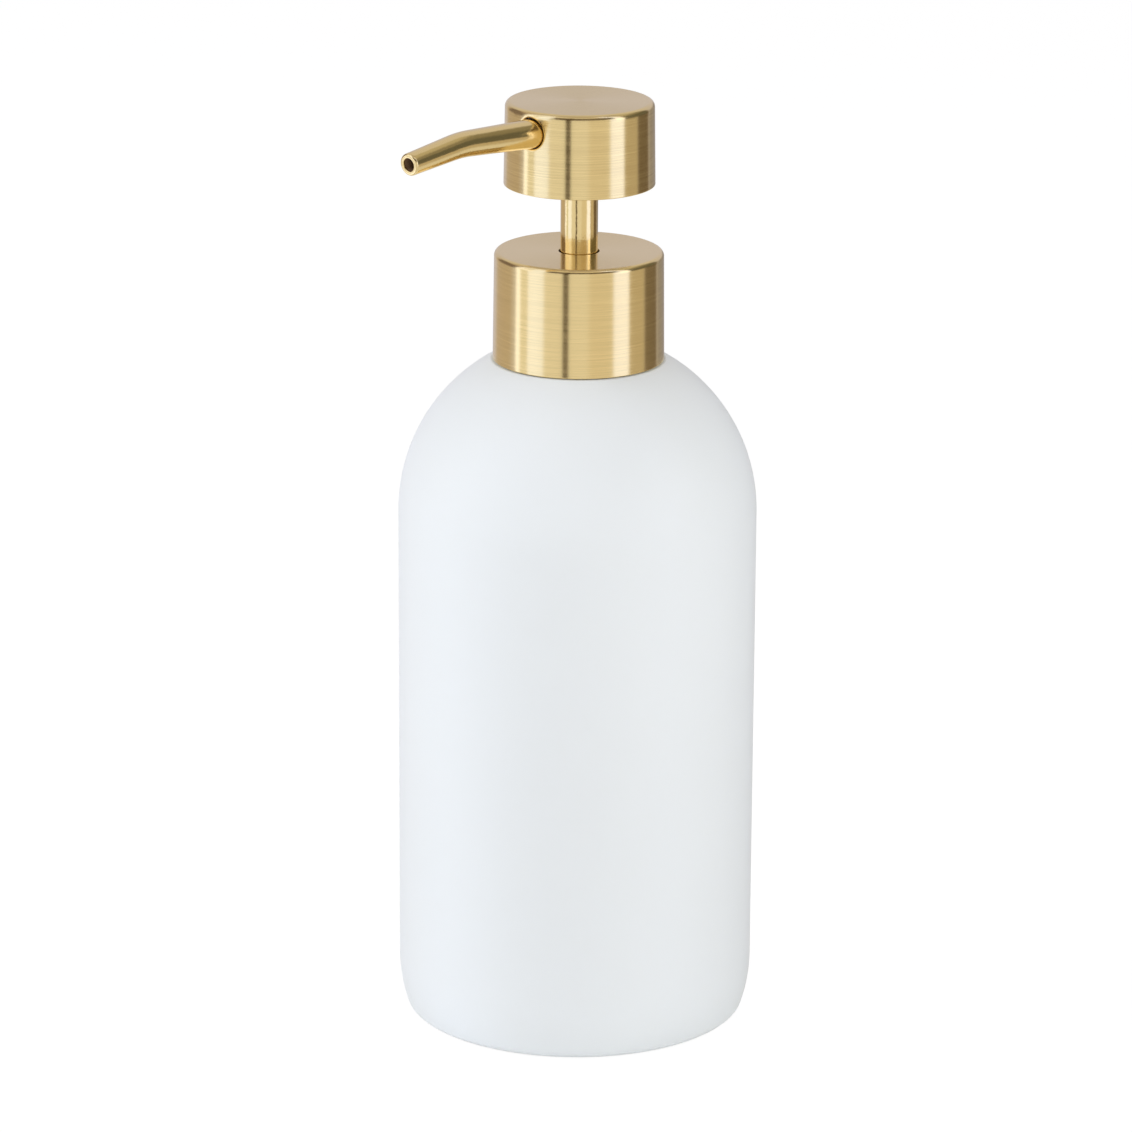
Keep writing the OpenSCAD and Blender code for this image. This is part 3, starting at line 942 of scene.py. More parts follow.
@dataclass
class Bottle:
    """The glazed bottle with its foot pad and threaded neck insert.

    The heel is a long curve from the wall inwards, which turns through the heel turn, in degrees,
    into the small edge at the foot. The land is the flat ring that the collar stands on.
    """

    wall: float = 3.0 * MM
    floor: float = 4.75 * MM
    crown: float = 4.6 * MM
    heel_radius: float = 32.0 * MM
    heel_turn: float = 18.0
    edge: float = 1.6 * MM
    foot: float = 0.15 * MM
    inner_corner: float = 11.0 * MM
    land_margin: float = 0.45 * MM
    land_fillet: float = 0.5 * MM
    mouth: float = 11.1 * MM
    mouth_fillet: float = 0.6 * MM
    throat_fillet: float = 0.8 * MM
    recess: float = 1.15 * MM
    recess_fillet: float = 0.2 * MM
    foot_fillet: float = 0.3 * MM
    pad_gap: float = 0.4 * MM
    pad_fillet: float = 0.25 * MM
    ring_radii: tuple[float, ...] = (9.0 * MM, 15.0 * MM, 21.0 * MM)
    ring_section: tuple[Point, ...] = ((-0.8, 0.0), (-0.45, 0.3), (0.45, 0.3), (0.8, 0.0))
    ring_fillet: float = 0.15 * MM
    spigot_play: float = 0.03 * MM
    neck_root: float = 12.6 * MM
    neck_bore: float = 9.3 * MM
    neck_flange: float = 1.3 * MM
    neck_chamfer: float = 0.5 * MM
    moulded: float = 0.3 * MM
    thread_height: float = 0.72 * MM
    thread_above_crown: float = 3.4 * MM
    thread_below_rim: float = 2.2 * MM

    def build(self, shop: Workshop) -> None:
        """Builds and dresses the three pieces.

        Args:
            shop: The workshop that paints them.
        """
        shop.fit(self.body(), Look.CERAMIC, Body.BOTTLE, "bottle")
        shop.fit(self.pad(), Look.FOOT_RUBBER, Body.BOTTLE, "base_pad")
        shop.fit(self.neck(), Look.WHITE_PLASTIC, Body.BOTTLE, "neck_insert")

    def body(self) -> bpy.types.Object:
        """Builds the hollow bottle.

        Returns:
            The bottle.
        """
        cad, pit = Extent.of("bottle"), Extent.of("base_pad").radius + self.pad_gap
        outside, inside = cad.radius, cad.radius - self.wall
        land = Extent.of("collar_shell").radius + self.land_margin
        middle = cad.top - math.sqrt(outside**2 - land**2)
        ceiling = cad.top - self.crown
        shoulder_end = math.degrees(math.acos(land / outside)) - 2
        ceiling_start = math.degrees(math.asin((ceiling - middle) / inside))
        turn = math.radians(self.heel_turn)
        between = self.heel_radius - self.edge
        heel_axis = outside - self.heel_radius
        edge = (heel_axis + between * math.cos(turn), self.foot + self.edge)
        heel = (heel_axis, edge[1] + between * math.sin(turn))
        corner = (inside - self.inner_corner, self.floor + self.inner_corner)
        line = Outline(closed=False)
        line.to(0.0, self.recess).to(pit, self.recess, self.recess_fillet)
        line.to(pit, self.foot, self.foot_fillet)
        line.arc(edge, self.edge, start=-90, end=-self.heel_turn, steps=10)
        line.arc(heel, self.heel_radius, start=-self.heel_turn, end=0, steps=14)
        line.arc((0.0, middle), outside, start=0, end=shoulder_end, steps=60)
        line.to(land, cad.top, self.land_fillet).to(self.mouth, cad.top, self.mouth_fillet)
        line.to(self.mouth, ceiling, self.throat_fillet)
        line.arc((0.0, middle), inside, start=ceiling_start, end=0, steps=24)
        line.arc(corner, self.inner_corner, start=0, end=-90, steps=12)
        line.to(0.0, self.floor)
        return turned("bottle_body", line, FINE)

    def pad(self) -> bpy.types.Object:
        """Builds the foot pad with its grip rings underneath.

        Returns:
            The pad.
        """
        cad = Extent.of("base_pad")
        line = Outline(closed=False).to(0.0, cad.low)
        for middle in self.ring_radii:
            for out, up in self.ring_section:
                line.to(middle + out * MM, cad.low + up * MM, self.ring_fillet)
        line.to(cad.radius, cad.low, self.pad_fillet).to(cad.radius, cad.top, self.recess_fillet)
        line.to(0.0, cad.top)
        return turned("foot_pad", line, segments=160)

    def neck(self) -> bpy.types.Object:
        """Builds the neck insert with its outside thread.

        Returns:
            The insert.
        """
        cad, crown = Extent.of("neck_insert"), Extent.of("bottle").top
        spigot, root, bore = self.mouth - self.spigot_play, self.neck_root, self.neck_bore
        flange, shoulder = crown + self.neck_flange, cad.top - self.neck_chamfer
        lead_in, under_flange, rim = 0.4 * MM, 0.15 * MM, 0.2 * MM
        line = Outline()
        line.to(bore, cad.low, self.moulded).to(spigot, cad.low, lead_in)
        line.to(spigot, crown).to(cad.radius, crown, under_flange)
        line.to(cad.radius, flange, self.moulded).to(root, flange, self.moulded)
        line.to(root, shoulder, self.moulded).to(root - self.neck_chamfer, cad.top, rim)
        line.to(bore, cad.top, rim)
        mesh = Mesh("threaded_neck")
        mesh.lathe(line)
        thread = Thread(root, self.thread_height, ThreadSide.OUTWARD)
        thread.add_to(mesh, crown + self.thread_above_crown, cad.top - self.thread_below_rim)
        return mesh.finish()


@dataclass
class Closure:
    """The screwed collar: a drawn metal shell round a threaded insert."""

    metal: float = 0.6 * MM
    draft: float = 0.26 * MM
    edge: float = 1.0 * MM
    hole_gap: float = 0.35 * MM
    skirt: float = 0.3 * MM
    lip: float = 0.16 * MM
    sleeve_bore: float = 13.8 * MM
    thread_height: float = 0.34 * MM
    thread_start: float = 2.6 * MM
    thread_turns: float = 2.2

    def build(self, shop: Workshop) -> None:
        """Builds and dresses the collar and its insert's thread.

        Args:
            shop: The workshop that paints them.
        """
        shop.fit(self.shell(), Look.BRUSHED, Body.CLOSURE, "collar_shell")
        shop.keep("closure_insert", Look.WHITE_PLASTIC)
        shop.fit(self.inside_thread(), Look.WHITE_PLASTIC, Body.CLOSURE)

    def shell(self) -> bpy.types.Object:
        """Builds the metal shell with its stem hole.

        Returns:
            The shell.
        """
        cad = Extent.of("collar_shell")
        hole = Extent.of("stem_sleeve").radius + self.hole_gap
        top_radius = cad.radius - self.draft
        hem = cad.low - self.skirt
        line = Outline()
        line.to(hole, cad.top, self.lip).to(top_radius, cad.top, self.edge)
        line.to(cad.radius, hem, self.lip).to(cad.radius - self.metal, hem, self.lip)
        line.to(top_radius - self.metal, cad.top - self.metal, self.edge - self.metal)
        line.to(hole, cad.top - self.metal, self.lip)
        return turned("collar_cover", line, FINE)

    def inside_thread(self) -> bpy.types.Object:
        """Builds the ridge inside the threaded insert.

        Returns:
            The ridge.
        """
        start = Extent.of("closure_insert").low + self.thread_start
        mesh = Mesh("collar_thread")
        thread = Thread(self.sleeve_bore, self.thread_height, ThreadSide.INWARD)
        thread.add_to(mesh, start, start + self.thread_turns * THREAD_PITCH)
        return mesh.finish()


@dataclass
class SpoutPath:
    """The spout's centre line: two straight stretches with a bend between them.

    The rise and the drop are the slopes of the stretches, in degrees. The bend and the reach are
    measured level from the stem's axis, and below_top is how far under the button's top the line
    would meet that axis.
    """

    rise: float = 3.5
    drop: float = 6.0
    bend_at: float = 36.5 * MM
    bend_radius: float = 32.0 * MM
    reach: float = 51.75 * MM
    below_top: float = 5.45 * MM
    axis_height: float = field(init=False)
    turn: float = field(init=False)
    bend_start: float = field(init=False)
    bend_end: float = field(init=False)
    length: float = field(init=False)

    def __post_init__(self) -> None:
        """Works out the line's height on the axis, where its bend starts and ends, and its length."""
        self.axis_height = Extent.of("button_shell").top - self.below_top
        self.turn = math.radians(self.rise + self.drop)
        half = self.bend_radius * math.tan(self.turn / 2)
        self.bend_start = self.bend_at / math.cos(math.radians(self.rise)) - half
        self.bend_end = self.bend_start + self.bend_radius * self.turn
        run = (self.reach - self.bend_at) / math.cos(math.radians(self.drop))
        self.length = self.bend_end + run - half

    def at(self, along: float) -> tuple[Vector, Vector]:
        """Finds a point of the line.

        Args:
            along: Distance of the point along the line from the stem's axis.

        Returns:
            The point, and the upward direction across the line.
        """
        angle = max(0.0, min(self.turn, (along - self.bend_start) / self.bend_radius))
        far = max(0.0, along - self.bend_end)
        out = min(along, self.bend_start) + self.bend_radius * math.sin(angle) + far * math.cos(angle)
        up = -self.bend_radius * (1 - math.cos(angle)) - far * math.sin(angle)
        level = Matrix.Rotation(-math.radians(self.rise), 3, "X")
        point = level @ Vector((0.0, -out, up)) + Vector((0.0, 0.0, self.axis_height))
        return point, level @ Vector((0.0, -math.sin(angle), math.cos(angle)))


@dataclass
class Button:
    """The head's drawn metal cover, with a round hole for the spout.

    Its skins are grids of columns round the axis and rows along the outline. A window of so many
    columns and rows is left open in each, and a patch of rings narrows it to the hole. The lift is
    how far the hole's middle lies over the spout's, and the margin how far the window reaches past
    the hole.
    """

    metal: float = 0.6 * MM
    draft: float = 0.27 * MM
    edge: float = 1.2 * MM
    lip: float = 0.16 * MM
    hole: float = 3.22 * MM
    hole_lip: float = 0.45 * MM
    lip_steps: int = 6
    lift: float = 0.03 * MM
    margin: float = 0.35 * MM
    patch_shares: tuple[float, ...] = (0.3, 0.6, 0.85, 1.0)
    columns: int = FINE
    window_columns: int = 30
    window_rows: int = 22

    def cover(self, path: SpoutPath) -> bpy.types.Object:
        """Builds the cover with the rounded hole that the spout comes out of.

        Args:
            path: The spout's centre line.

        Returns:
            The cover.
        """
        cad = Extent.of("button_shell")
        top_radius = cad.radius - self.draft
        line = Outline(closed=False)
        line.to(0.0, cad.top).to(top_radius, cad.top, self.edge)
        line.to(cad.radius, cad.low, self.lip).to(cad.radius - self.metal, cad.low, self.lip)
        line.to(top_radius - self.metal, cad.top - self.metal, self.edge - self.metal)
        line.to(0.0, cad.top - self.metal)
        skin = Skin(line.trace())
        centre = path.at(top_radius)[0].z + self.lift
        reach = self.hole + self.margin
        bottom = skin.farthest_down()
        outer = skin.window(centre, reach + self.hole_lip, 0.0, bottom)
        inner = skin.window(centre, reach, bottom, skin.length)
        rows = skin.rows([outer, inner], self.window_rows)
        mesh = Mesh("button_cover")
        grid = [mesh.circle(*skin.at(s), self.columns) for s in rows]
        first = self.columns * 3 // 4 - self.window_columns // 2
        last = first + self.window_columns
        beside = [k % self.columns for k in range(last, first + self.columns + 1)]
        open_rows = [rows.index(outer[0]), rows.index(inner[0])]
        for i, (above, below) in enumerate(zip(grid, grid[1:])):
            if any(start <= i < start + self.window_rows for start in open_rows):
                mesh.bridge([above[k] for k in beside], [below[k] for k in beside], closed=False)
            else:
                mesh.bridge(above, below)
        rims = []
        for start, flip in zip(open_rows, (False, True)):
            loop = self._window_loop(start, first, flip)
            border = [grid[i][k % self.columns] for i, k in loop]
            places = [(rows[i], TURN * k / self.columns) for i, k in loop]
            rims.append(self._hole_patch(mesh, skin, border, places, centre, flip))
        mesh.bridge(rims[0], rims[1])
        return mesh.finish()

    def _window_loop(self, start: int, first: int, flip: bool) -> list[tuple[int, int]]:
        """Goes round the open window in one skin, always the same way as seen from outside.

        Args:
            start: The window's first row.
            first: Its first column.
            flip: Whether rows run upwards there, as they do inside.

        Returns:
            Row and column of each vertex on the way.
        """
        height, width = self.window_rows, self.window_columns
        top, low = (start + height, start) if flip else (start, start + height)
        step = 1 if low > top else -1
        loop = [(top, first + k) for k in range(width)]
        loop += [(top + step * k, first + width) for k in range(height)]
        loop += [(low, first + width - k) for k in range(width)]
        loop += [(low - step * k, first) for k in range(height)]
        return loop

    def _hole_patch(
        self,
        mesh: Mesh,
        skin: Skin,
        border: list[bmesh.types.BMVert],
        places: list[Point],
        centre: float,
        inside: bool,
    ) -> list[bmesh.types.BMVert]:
        """Fills a window with rings that narrow to the round hole.

        Args:
            mesh: The button's mesh.
            skin: The shell's outline.
            border: The window's vertices.
            places: Distance along the outline and angle round the axis of each of them.
            centre: Height of the hole's middle on the skin.
            inside: Whether this is the inner skin, which has no rounded lip.

        Returns:
            The ring at the hole's edge.
        """
        low, high = min(s for s, _ in places), max(s for s, _ in places)
        middle = skin.at_height(centre, low, high)
        radius = skin.at(middle)[0]
        sign = 1 if inside else -1
        bearings = [
            math.atan2(sign * (s - middle), (angle + TURN / 4 - TURN) * radius) for s, angle in places
        ]
        wide = self.hole + (0.0 if inside else self.hole_lip)

        def spot(bearing: float, reach: float, sink: float = 0.0) -> Vector:
            """A point on or under the skin.

            Args:
                bearing: Angle round the hole.
                reach: Distance from the hole's middle.
                sink: Depth under the skin.

            Returns:
                The point.
            """
            side = math.asin(reach * math.cos(bearing) / radius) - TURN / 4
            out, up = skin.at(middle + sign * reach * math.sin(bearing))
            return Vector((out * math.cos(side), out * math.sin(side) + sink, up))

        ring = border
        for share in self.patch_shares:
            points = []
            for vertex, bearing in zip(border, bearings):
                goal = spot(bearing, wide)
                flat = vertex.co.lerp(goal, share)
                out = skin.nearest_radius(flat.z, low, high)
                span = math.hypot(flat.x, flat.y)
                points.append((flat.x * out / span, flat.y * out / span, flat.z) if share < 1 else goal)
            ring = self._advance(mesh, ring, points)
        if inside:
            return ring
        for k in range(1, self.lip_steps + 1):
            turn = math.pi / 2 * k / self.lip_steps
            reach = self.hole + self.hole_lip * (1 - math.sin(turn))
            sink = self.hole_lip * (1 - math.cos(turn))
            ring = self._advance(mesh, ring, [spot(b, reach, sink) for b in bearings])
        return ring

    @staticmethod
    def _advance(
        mesh: Mesh, ring: list[bmesh.types.BMVert], points: Sequence[Sequence[float]]
    ) -> list[bmesh.types.BMVert]:
        """Adds the next ring of a patch.

        Args:
            mesh: The mesh.
            ring: The ring before it.
            points: The places of the new ring.

        Returns:
            The new ring.
        """
        new = mesh.ring(points)
        mesh.bridge(ring, new)
        return new


@dataclass
class Spout:
    """The bent, tapering metal tube with its bore.

    The root, the bend and the tip are outer radii, and the tip step is the turn between two points
    of a rounding at the tip, in degrees.
    """

    root: float = 3.05 * MM
    bend: float = 2.625 * MM
    tip: float = 2.3 * MM
    wall: float = 0.95 * MM
    root_at: float = 5.1 * MM
    straight_to: float = 14.38 * MM
    tip_rounding: float = 0.45 * MM
    bore_rounding: float = 0.2 * MM
    bore_depth: float = 9.0 * MM
    bore_start: float = 0.4 * MM
    # Thickness of the dark sheet of painted shade inside the bore.
    shade_sheet_thickness: float = 0.1 * MM
    bore_play: float = 0.01 * MM
    steps: int = 90
    sides: int = 72
    tip_step: int = 15
    path: SpoutPath = field(default_factory=SpoutPath)

    def tube(self) -> bpy.types.Object:
        """Builds the bent, tapering tube with its bore and rounded tip.

        Returns:
            The tube.
        """
        path, tip, wall = self.path, self.tip, self.wall
        middle = (path.bend_start + path.bend_end) / 2
        width = Taper((
            (self.root_at, self.root),
            (self.straight_to, self.root),
            (middle, self.bend),
            (path.length, tip),
        ))
        run = path.length - self.tip_rounding - self.root_at
        stations = [self.root_at + run * i / self.steps for i in range(self.steps + 1)]
        outer = [math.radians(turn) for turn in range(self.tip_step, 91, self.tip_step)]
        inner = [math.radians(turn) for turn in range(90, -1, -self.tip_step)]
        section = [(s, width.at(s)) for s in stations]
        section += [self._rounded(a, tip, -self.tip_rounding) for a in outer]
        section += [self._rounded(a, tip - wall, self.bore_rounding) for a in inner]
        section += [(s, width.at(s) - wall) for s in reversed(stations[::3])]
        mesh = Mesh("spout_tube")
        mesh.chain([self._section(mesh, s, radius) for s, radius in section], closed=True)
        return mesh.finish()

    def _rounded(self, angle: float, radius: float, rounding: float) -> Point:
        """Place and radius of a point of the tip's rim; the rounding is negative outside."""
        back = abs(rounding) * (1 - math.sin(angle))
        return self.path.length - back, radius + rounding * (1 - math.cos(angle))

    def bore(self) -> bpy.types.Object:
        """Builds a dark, rough sheet inside the spout's bore behind the tip. Its dark colour is painted
        shade for the dim inside of the tube.

        Returns:
            The skin.
        """
        back, front = self.path.length - self.bore_depth, self.path.length - self.bore_start
        outside = self.tip - self.wall - self.bore_play
        inside = outside - self.shade_sheet_thickness
        section = ((back, outside), (back, inside), (front, inside), (front, outside))
        mesh = Mesh("spout_bore_shade_sheet")
        mesh.chain([self._section(mesh, s, radius) for s, radius in section], closed=True)
        return mesh.finish()

    def _section(self, mesh: Mesh, along: float, radius: float) -> list[bmesh.types.BMVert]:
        """Adds one round section of the spout.

        Args:
            mesh: The mesh.
            along: Its distance along the spout.
            radius: Its radius.

        Returns:
            Its vertices.
        """
        point, up = self.path.at(along)
        side = Vector((1.0, 0.0, 0.0))
        steps = [TURN * i / self.sides for i in range(self.sides)]
        return mesh.ring([point + radius * (up * math.cos(a) + side * math.sin(a)) for a in steps])


@dataclass
class Head:
    """The press-down head: button, spout, stem sleeve, and the core that joins them."""

    button: Button = field(default_factory=Button)
    spout: Spout = field(default_factory=Spout)
    sleeve_wall: float = 0.6 * MM
    sleeve_burr: float = 0.12 * MM
    sleeve_rim: float = 0.2 * MM

    def build(self, shop: Workshop) -> None:
        """Builds and dresses the head's pieces.

        Args:
            shop: The workshop that paints them.
        """
        shop.fit(self.button.cover(self.spout.path), Look.COARSE_BRUSHED, Body.HEAD, "button_shell")
        shop.fit(self.spout.tube(), Look.POLISHED, Body.HEAD, "spout")
        # A dark sheet inside the spout's tip, painted shade for the dim inside of the bore.
        shop.fit(self.spout.bore(), Look.BORE_SHADE, Body.HEAD)
        shop.fit(self.sleeve(), Look.POLISHED, Body.HEAD, "stem_sleeve")
        shop.keep("button_core", Look.WHITE_PLASTIC)
        shop.keep("nozzle_seal", Look.SOFT_RUBBER)

    def sleeve(self) -> bpy.types.Object:
        """Builds the polished tube round the stem.

        Returns:
            The tube.
        """
        cad = Extent.of("stem_sleeve")
        inside = cad.radius - self.sleeve_wall
        burr, rim = self.sleeve_burr, self.sleeve_rim
        line = Outline()
        line.to(inside, cad.low, burr).to(cad.radius, cad.low, rim)
        line.to(cad.radius, cad.top, burr).to(inside, cad.top, burr)
        return turned("stem_tube", line, segments=128)


@dataclass
class Pump:
    """The pump under the collar: barrel, piston, valves, spring and dip tube.

    The wire and the coil are radii, and the dead pitch is the rise of a closed end coil as a share
    of the wire's radius.
    """

    LOOKS = {
        "gasket": Look.SOFT_RUBBER,
        "stem_wiper": Look.SOFT_RUBBER,
        "piston": Look.SOFT_RUBBER,
        "guide_cap": Look.WHITE_PLASTIC,
        "ball_cage": Look.WHITE_PLASTIC,
        "stem": Look.WHITE_PLASTIC,
        "stem_plug": Look.WHITE_PLASTIC,
        "pump_housing": Look.CLEAR_PLASTIC,
        "dip_tube": Look.CLEAR_PLASTIC,
        "inlet_ball": Look.WIRE,
    }

    wire: float = 0.45 * MM
    coil: float = 4.6 * MM
    coils: float = 8.0
    dead_pitch: float = 2.12
    stroke: float = 13.8 * MM
    steps_per_coil: int = 40
    wire_sides: int = 12

    def build(self, shop: Workshop) -> None:
        """Dresses the pump's pieces and builds its spring.

        Args:
            shop: The workshop that paints them.
        """
        for node, look in self.LOOKS.items():
            shop.keep(node, look)
        spring = self.spring()
        shop.fit(spring, Look.WIRE, Body.PUMP, "return_spring")
        cad = Extent.of("return_spring")
        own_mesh(spring)

    def spring(self) -> bpy.types.Object:
        """Builds the round-wire spring with closed ends.

        Returns:
            The spring.
        """
        cad = Extent.of("return_spring")
        low, high = cad.low + self.wire, cad.top - self.wire
        dead = self.dead_pitch * self.wire
        live = (high - low - 2 * dead) / (self.coils - 2)
        mesh = Mesh("pump_spring")
        rings = []
        for i in range(round(self.coils * self.steps_per_coil) + 1):
            turn = i / self.steps_per_coil
            middle = min(max(turn - 1, 0), self.coils - 2)
            rise = dead * (turn - middle) + live * middle
            out = Vector((math.cos(TURN * turn), math.sin(TURN * turn), 0.0))
            centre = out * self.coil + Vector((0.0, 0.0, low + rise))
            around = [TURN * k / self.wire_sides for k in range(self.wire_sides)]
            rings.append(mesh.ring([
                centre + out * self.wire * math.cos(a) + Vector((0.0, 0.0, self.wire * math.sin(a)))
                for a in around
            ]))
        mesh.chain(rings)
        return mesh.finish()


# ---------------------------------------------------------------------------------------------
# Studio
# ---------------------------------------------------------------------------------------------


def toward(bearing: float, rise: float = 0.0) -> Vector:
    """Direction out from the dispenser, by its bearing from the spout and its elevation."""
    a, e = math.radians(bearing), math.radians(rise)
    return Vector((math.sin(a) * math.cos(e), -math.cos(a) * math.cos(e), math.sin(e)))


@dataclass(frozen=True)
class View:
    """The camera: where it stands round the dispenser, and how it looks.

    The distance is level, from the axis. The tilt, the pan and the roll are in radians, and the
    lens and the sensor in millimetres.
    """

    bearing: float = FRONT
    distance: float = 1.115
    height: float = 0.43969
    tilt: float = 0.2982
    pan: float = -0.0021
    roll: float = 0.0055
    lens: float = 176.57
    sensor: float = 36.0
    nearest: float = 0.01
    farthest: float = 20.0

    def build(self) -> None:
        """Makes the camera and sets it as the scene's."""
        data = bpy.data.cameras.new("studio_camera")
        data.lens = self.lens
        data.sensor_width = self.sensor
        data.clip_start = self.nearest
        data.clip_end = self.farthest
        camera = bpy.data.objects.new("studio_camera", data)
        a = math.radians(self.bearing)
        place = (self.distance * math.sin(a), -self.distance * math.cos(a), self.height)
        turned_axes = Matrix.Rotation(a, 3, "Z") @ self.axes()
        camera.matrix_world = Matrix.Translation(place) @ turned_axes.to_4x4()
        bpy.context.scene.collection.objects.link(camera)
        bpy.context.scene.camera = camera

    def axes(self) -> Matrix:
        """Works out how the camera is turned when it stands straight in front.

        Returns:
            Its axes, as the columns of a matrix.
        """
        level = math.cos(self.tilt)
        ahead = (math.sin(self.pan) * level, math.cos(self.pan) * level, -math.sin(self.tilt))
        ahead = Vector(ahead)
        right = Vector((math.cos(self.pan), -math.sin(self.pan), 0.0))
        up = right.cross(ahead)
        c, s = math.cos(self.roll), math.sin(self.roll)
        return Matrix((c * right + s * up, c * up - s * right, -ahead)).transposed()


@dataclass(frozen=True)
class Lamp:
    """A large soft lamp that points at the dispenser.

    Its bearing is counted from the camera, to the right, and its aim is a height on the axis.
    """

    name: str
    bearing: float
    rise: float
    power: float
    distance: float = 1.3
    size: float = 0.8
    aim: float = 0.1

    def hang(self) -> None:
        """Hangs the lamp."""
        data = bpy.data.lights.new(self.name, "AREA")
        data.shape = "DISK"
        data.size = self.size
        data.energy = self.power
        lamp = bpy.data.objects.new(self.name, data)
        way = toward(FRONT + self.bearing, self.rise)
        lamp.location = way * self.distance + Vector((0.0, 0.0, self.aim))
        lamp.rotation_euler = way.to_track_quat("Z", "Y").to_euler()
        lamp.visible_glossy = False
        bpy.context.scene.collection.objects.link(lamp)


@dataclass(frozen=True)
class Panel:
    """A soft-edged patch of the studio's surroundings, brighter or darker than its walls.

    Its bearing is counted from the camera, to the right. It lies between a low and a high
    elevation, and all of its measures are in degrees.
    """

    name: str
    bearing: float
    width: float
    colour: Colour
    edge: float = 5.0
    low: float = -90.0
    high: float = 90.0

    def mask(self, graph: Graph, level: Field, rise: Field) -> Field:
        """Masks the panel.

        Args:
            graph: The world's graph.
            level: The level part of the view's direction.
            rise: The view's elevation, in degrees.

        Returns:
            1 inside the panel, 0 outside it.
        """
        soft = self.edge / 2
        mask: Field | float = 1.0
        if self.width < 360:
            middle = toward(FRONT + self.bearing)
            off = graph.vector("DOT_PRODUCT", level, middle, output="Value").arc_cosine() * DEGREES
            mask = off.step(self.width / 2 + soft, self.width / 2 - soft)
        if self.low > -90:
            mask = mask * rise.step(self.low - soft, self.low + soft)
        if self.high < 90:
            mask = mask * rise.step(self.high + soft, self.high - soft)
        return mask


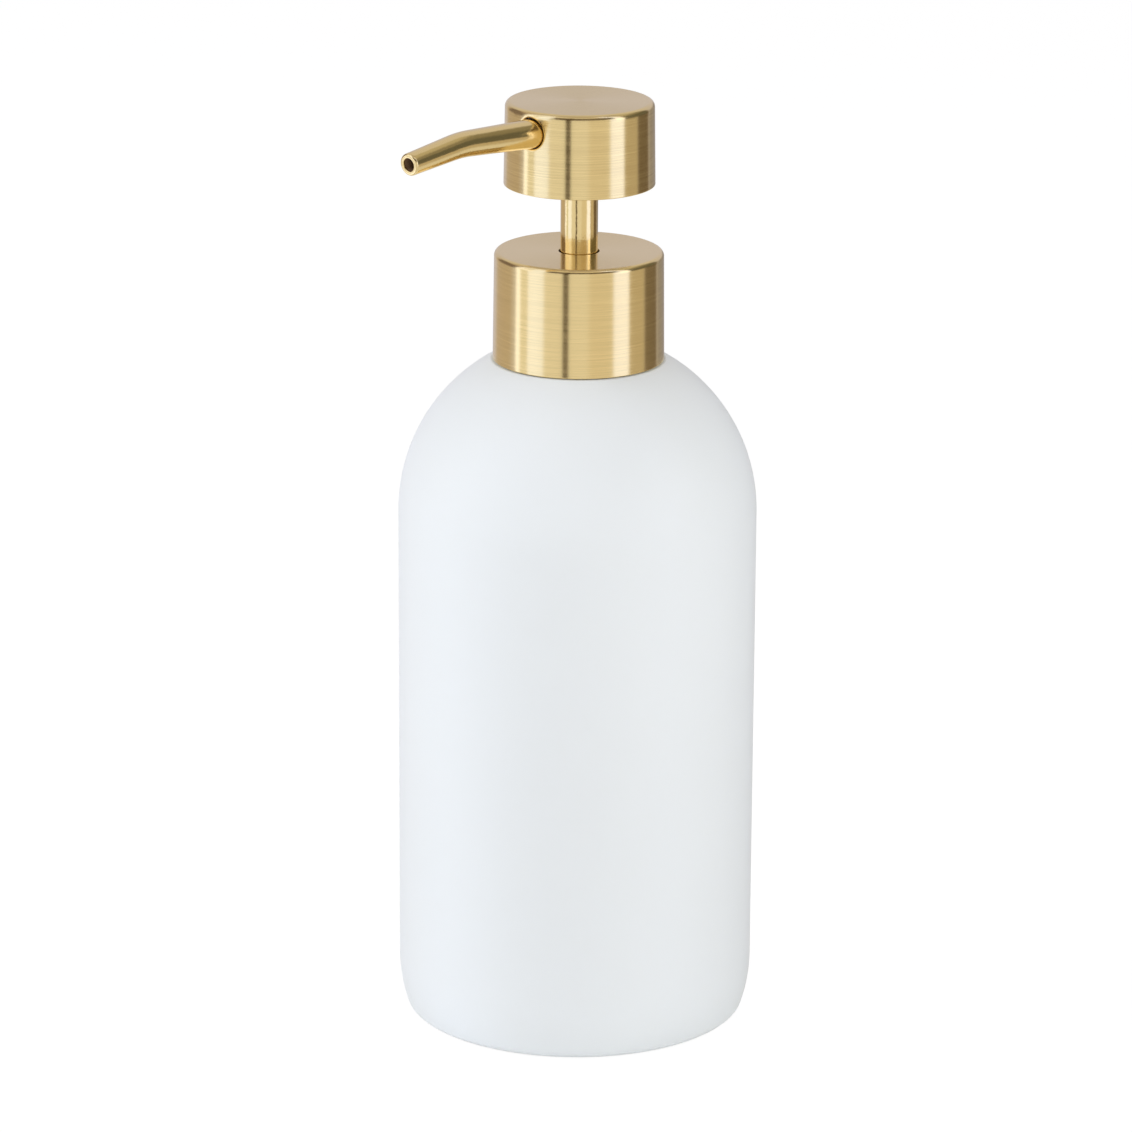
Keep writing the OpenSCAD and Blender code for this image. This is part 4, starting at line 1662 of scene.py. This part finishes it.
@dataclass(frozen=True)
class Studio:
    """The floor, the surroundings and the lamps. Each panel covers those before it."""

    wall: Colour = (0.59, 0.57, 0.64)
    panels: tuple[Panel, ...] = (
        Panel("front wall", 0.0, 100.0, (0.815, 0.805, 0.785), 6.0),
        Panel("warm front wall", 30.0, 32.0, (0.73, 0.68, 0.59), 10.0),
        Panel("gap by the camera", -17.5, 7.8, (0.04, 0.02, 0.0), 2.5),
        Panel("left softbox", -61.0, 26.0, (1.08, 1.19, 1.56), 6.0),
        Panel("left wall", -80.0, 14.0, (0.78, 0.77, 0.70), 3.0),
        Panel("left edge light", -90.0, 8.0, (1.32, 1.42, 1.8), 3.0),
        Panel("left corner", -124.0, 44.0, (0.52, 0.45, 0.39), 10.0),
        Panel("right softbox", 60.5, 25.0, (1.14, 1.24, 1.72), 5.0),
        Panel("right wall", 86.0, 28.0, (0.54, 0.47, 0.36), 4.0),
        Panel("right corner", 115.0, 30.0, (0.15, 0.11, 0.07), 6.0),
        Panel("back of the right corner", 150.0, 36.0, (0.30, 0.285, 0.30), 10.0, high=6.0),
        Panel("table", 0.0, 360.0, (0.72, 0.70, 0.65), 14.0, high=-21.0),
        Panel("left table", -85.0, 50.0, (1.3, 1.38, 1.8), 6.0, -50.0, -24.0),
        Panel("left shelf", -116.0, 44.0, (0.20, 0.16, 0.15), 8.0, -5.0, 32.0),
        Panel("right shelf", 100.0, 54.0, (0.135, 0.13, 0.10), 8.0, -4.0, 29.0),
        Panel("dim wall over the right shelf", 106.0, 60.0, (0.25, 0.23, 0.17), 12.0, 27.0, 44.0),
        Panel("wall over the right shelf", 114.0, 64.0, (0.50, 0.46, 0.36), 12.0, 43.0, 64.0),
        Panel("left strip light", -80.0, 28.0, (1.12, 1.16, 1.35), 4.0, -2.0, 24.0),
        Panel("right strip light", 65.0, 14.0, (1.55, 1.6, 1.9), 4.0, -2.0, 24.0),
        Panel("front shelf", 6.0, 104.0, (0.10, 0.075, 0.05), 8.0, 20.0, 50.0),
        Panel("overhead softbox", -10.0, 120.0, (0.74, 0.68, 0.60), 10.0, 54.0, 70.0),
        Panel("upper back wall", 180.0, 90.0, (0.65, 0.62, 0.61), 12.0, 28.0, 64.0),
        Panel("ceiling", 0.0, 360.0, (0.50, 0.45, 0.39), 10.0, 70.0),
    )
    lamps: tuple[Lamp, ...] = (
        Lamp("left_lamp", -90.0, 25.0, power=5.75),
        Lamp("right_lamp", 68.0, 25.0, power=4.5),
        Lamp("front_lamp", 4.0, 22.0, power=2.6),
    )
    floor_radii: tuple[float, ...] = (0.08, 0.32, 0.8, 1.6)
    floor_colour: Colour = (0.93, 0.93, 0.93)
    shadow: float = 0.15
    glow: float = 1.07

    def build(self) -> None:
        """Builds the floor, the surroundings and the lamps, and sets plain colour handling."""
        bpy.context.scene.view_settings.view_transform = "Standard"
        self.surroundings()
        self.floor()
        for lamp in self.lamps:
            lamp.hang()

    def surroundings(self) -> None:
        """Makes the world: white where the camera looks, and a studio for the light it gives."""
        world = bpy.data.worlds.new("studio")
        bpy.context.scene.world = world
        world.use_nodes = True
        graph = Graph(world.node_tree)
        way = graph.field("ShaderNodeTexCoord", output="Generated")
        x, y, z = graph.split(way)
        level = graph.vector("NORMALIZE", graph.field("ShaderNodeCombineXYZ", None, {0: x, 1: y}))
        rise = graph.split(graph.vector("NORMALIZE", way))[2].arc_sine() * DEGREES
        colour: Field | Colour = self.wall
        for panel in self.panels:
            colour = graph.blend(panel.mask(graph, level, rise), colour, panel.colour)
        seen = graph.field("ShaderNodeLightPath", output="Is Camera Ray")
        shown = graph.blend(seen, colour, WHITE)
        background = graph.node("ShaderNodeBackground", None, {"Color": shown, "Strength": 1.0})
        graph.node("ShaderNodeOutputWorld", None, {"Surface": background.outputs[0]})

    def floor(self) -> None:
        """Builds the pale floor."""
        line = Outline(closed=False).to(0.0, 0.0)
        for radius in self.floor_radii:
            line.to(radius, 0.0)
        floor = turned("studio_floor", line, segments=96)
        if floor.data.polygons[0].normal.z < 0:
            floor.data.flip_normals()
        floor.data.materials.append(self.floor_material())
        floor.visible_glossy = False

    def floor_material(self) -> bpy.types.Material:
        """Makes the floor's material: white in view with the dispenser's shadow, clear from below.

        Returns:
            The material.
        """
        material = bpy.data.materials.new("studio_white")
        material.use_nodes = True
        graph = Graph(material.node_tree)
        path = graph.node("ShaderNodeLightPath")
        seen = Field(graph, path.outputs["Is Camera Ray"])
        for name in ("Is Glossy Ray", "Is Transmission Ray"):
            seen = seen.largest(Field(graph, path.outputs[name]))
        diffuse = graph.field("ShaderNodeBsdfDiffuse", None, {"Color": self.floor_colour})
        glow = graph.field("ShaderNodeEmission", None, {"Color": WHITE, "Strength": self.glow})
        share = seen * (1 - self.shadow)
        lit = graph.field("ShaderNodeMixShader", None, {0: share, 1: diffuse, 2: glow})
        clear = graph.field("ShaderNodeBsdfTransparent")
        back = graph.field("ShaderNodeNewGeometry", output="Backfacing")
        shown = graph.field("ShaderNodeMixShader", None, {0: back, 1: lit, 2: clear})
        graph.node("ShaderNodeOutputMaterial", None, {"Surface": shown})
        return material


def main() -> None:
    """Builds the dispenser's sub-assemblies in order, then the studio."""
    logging.basicConfig(level=logging.INFO, format="%(name)s: %(message)s")
    View().build()
    shop = Workshop()
    for part in (Bottle(), Pump(), Closure(), Head()):
        LOG.info("building %s", type(part).__name__)
        part.build(shop)
    Studio().build()


if __name__ == "__main__":
    main()
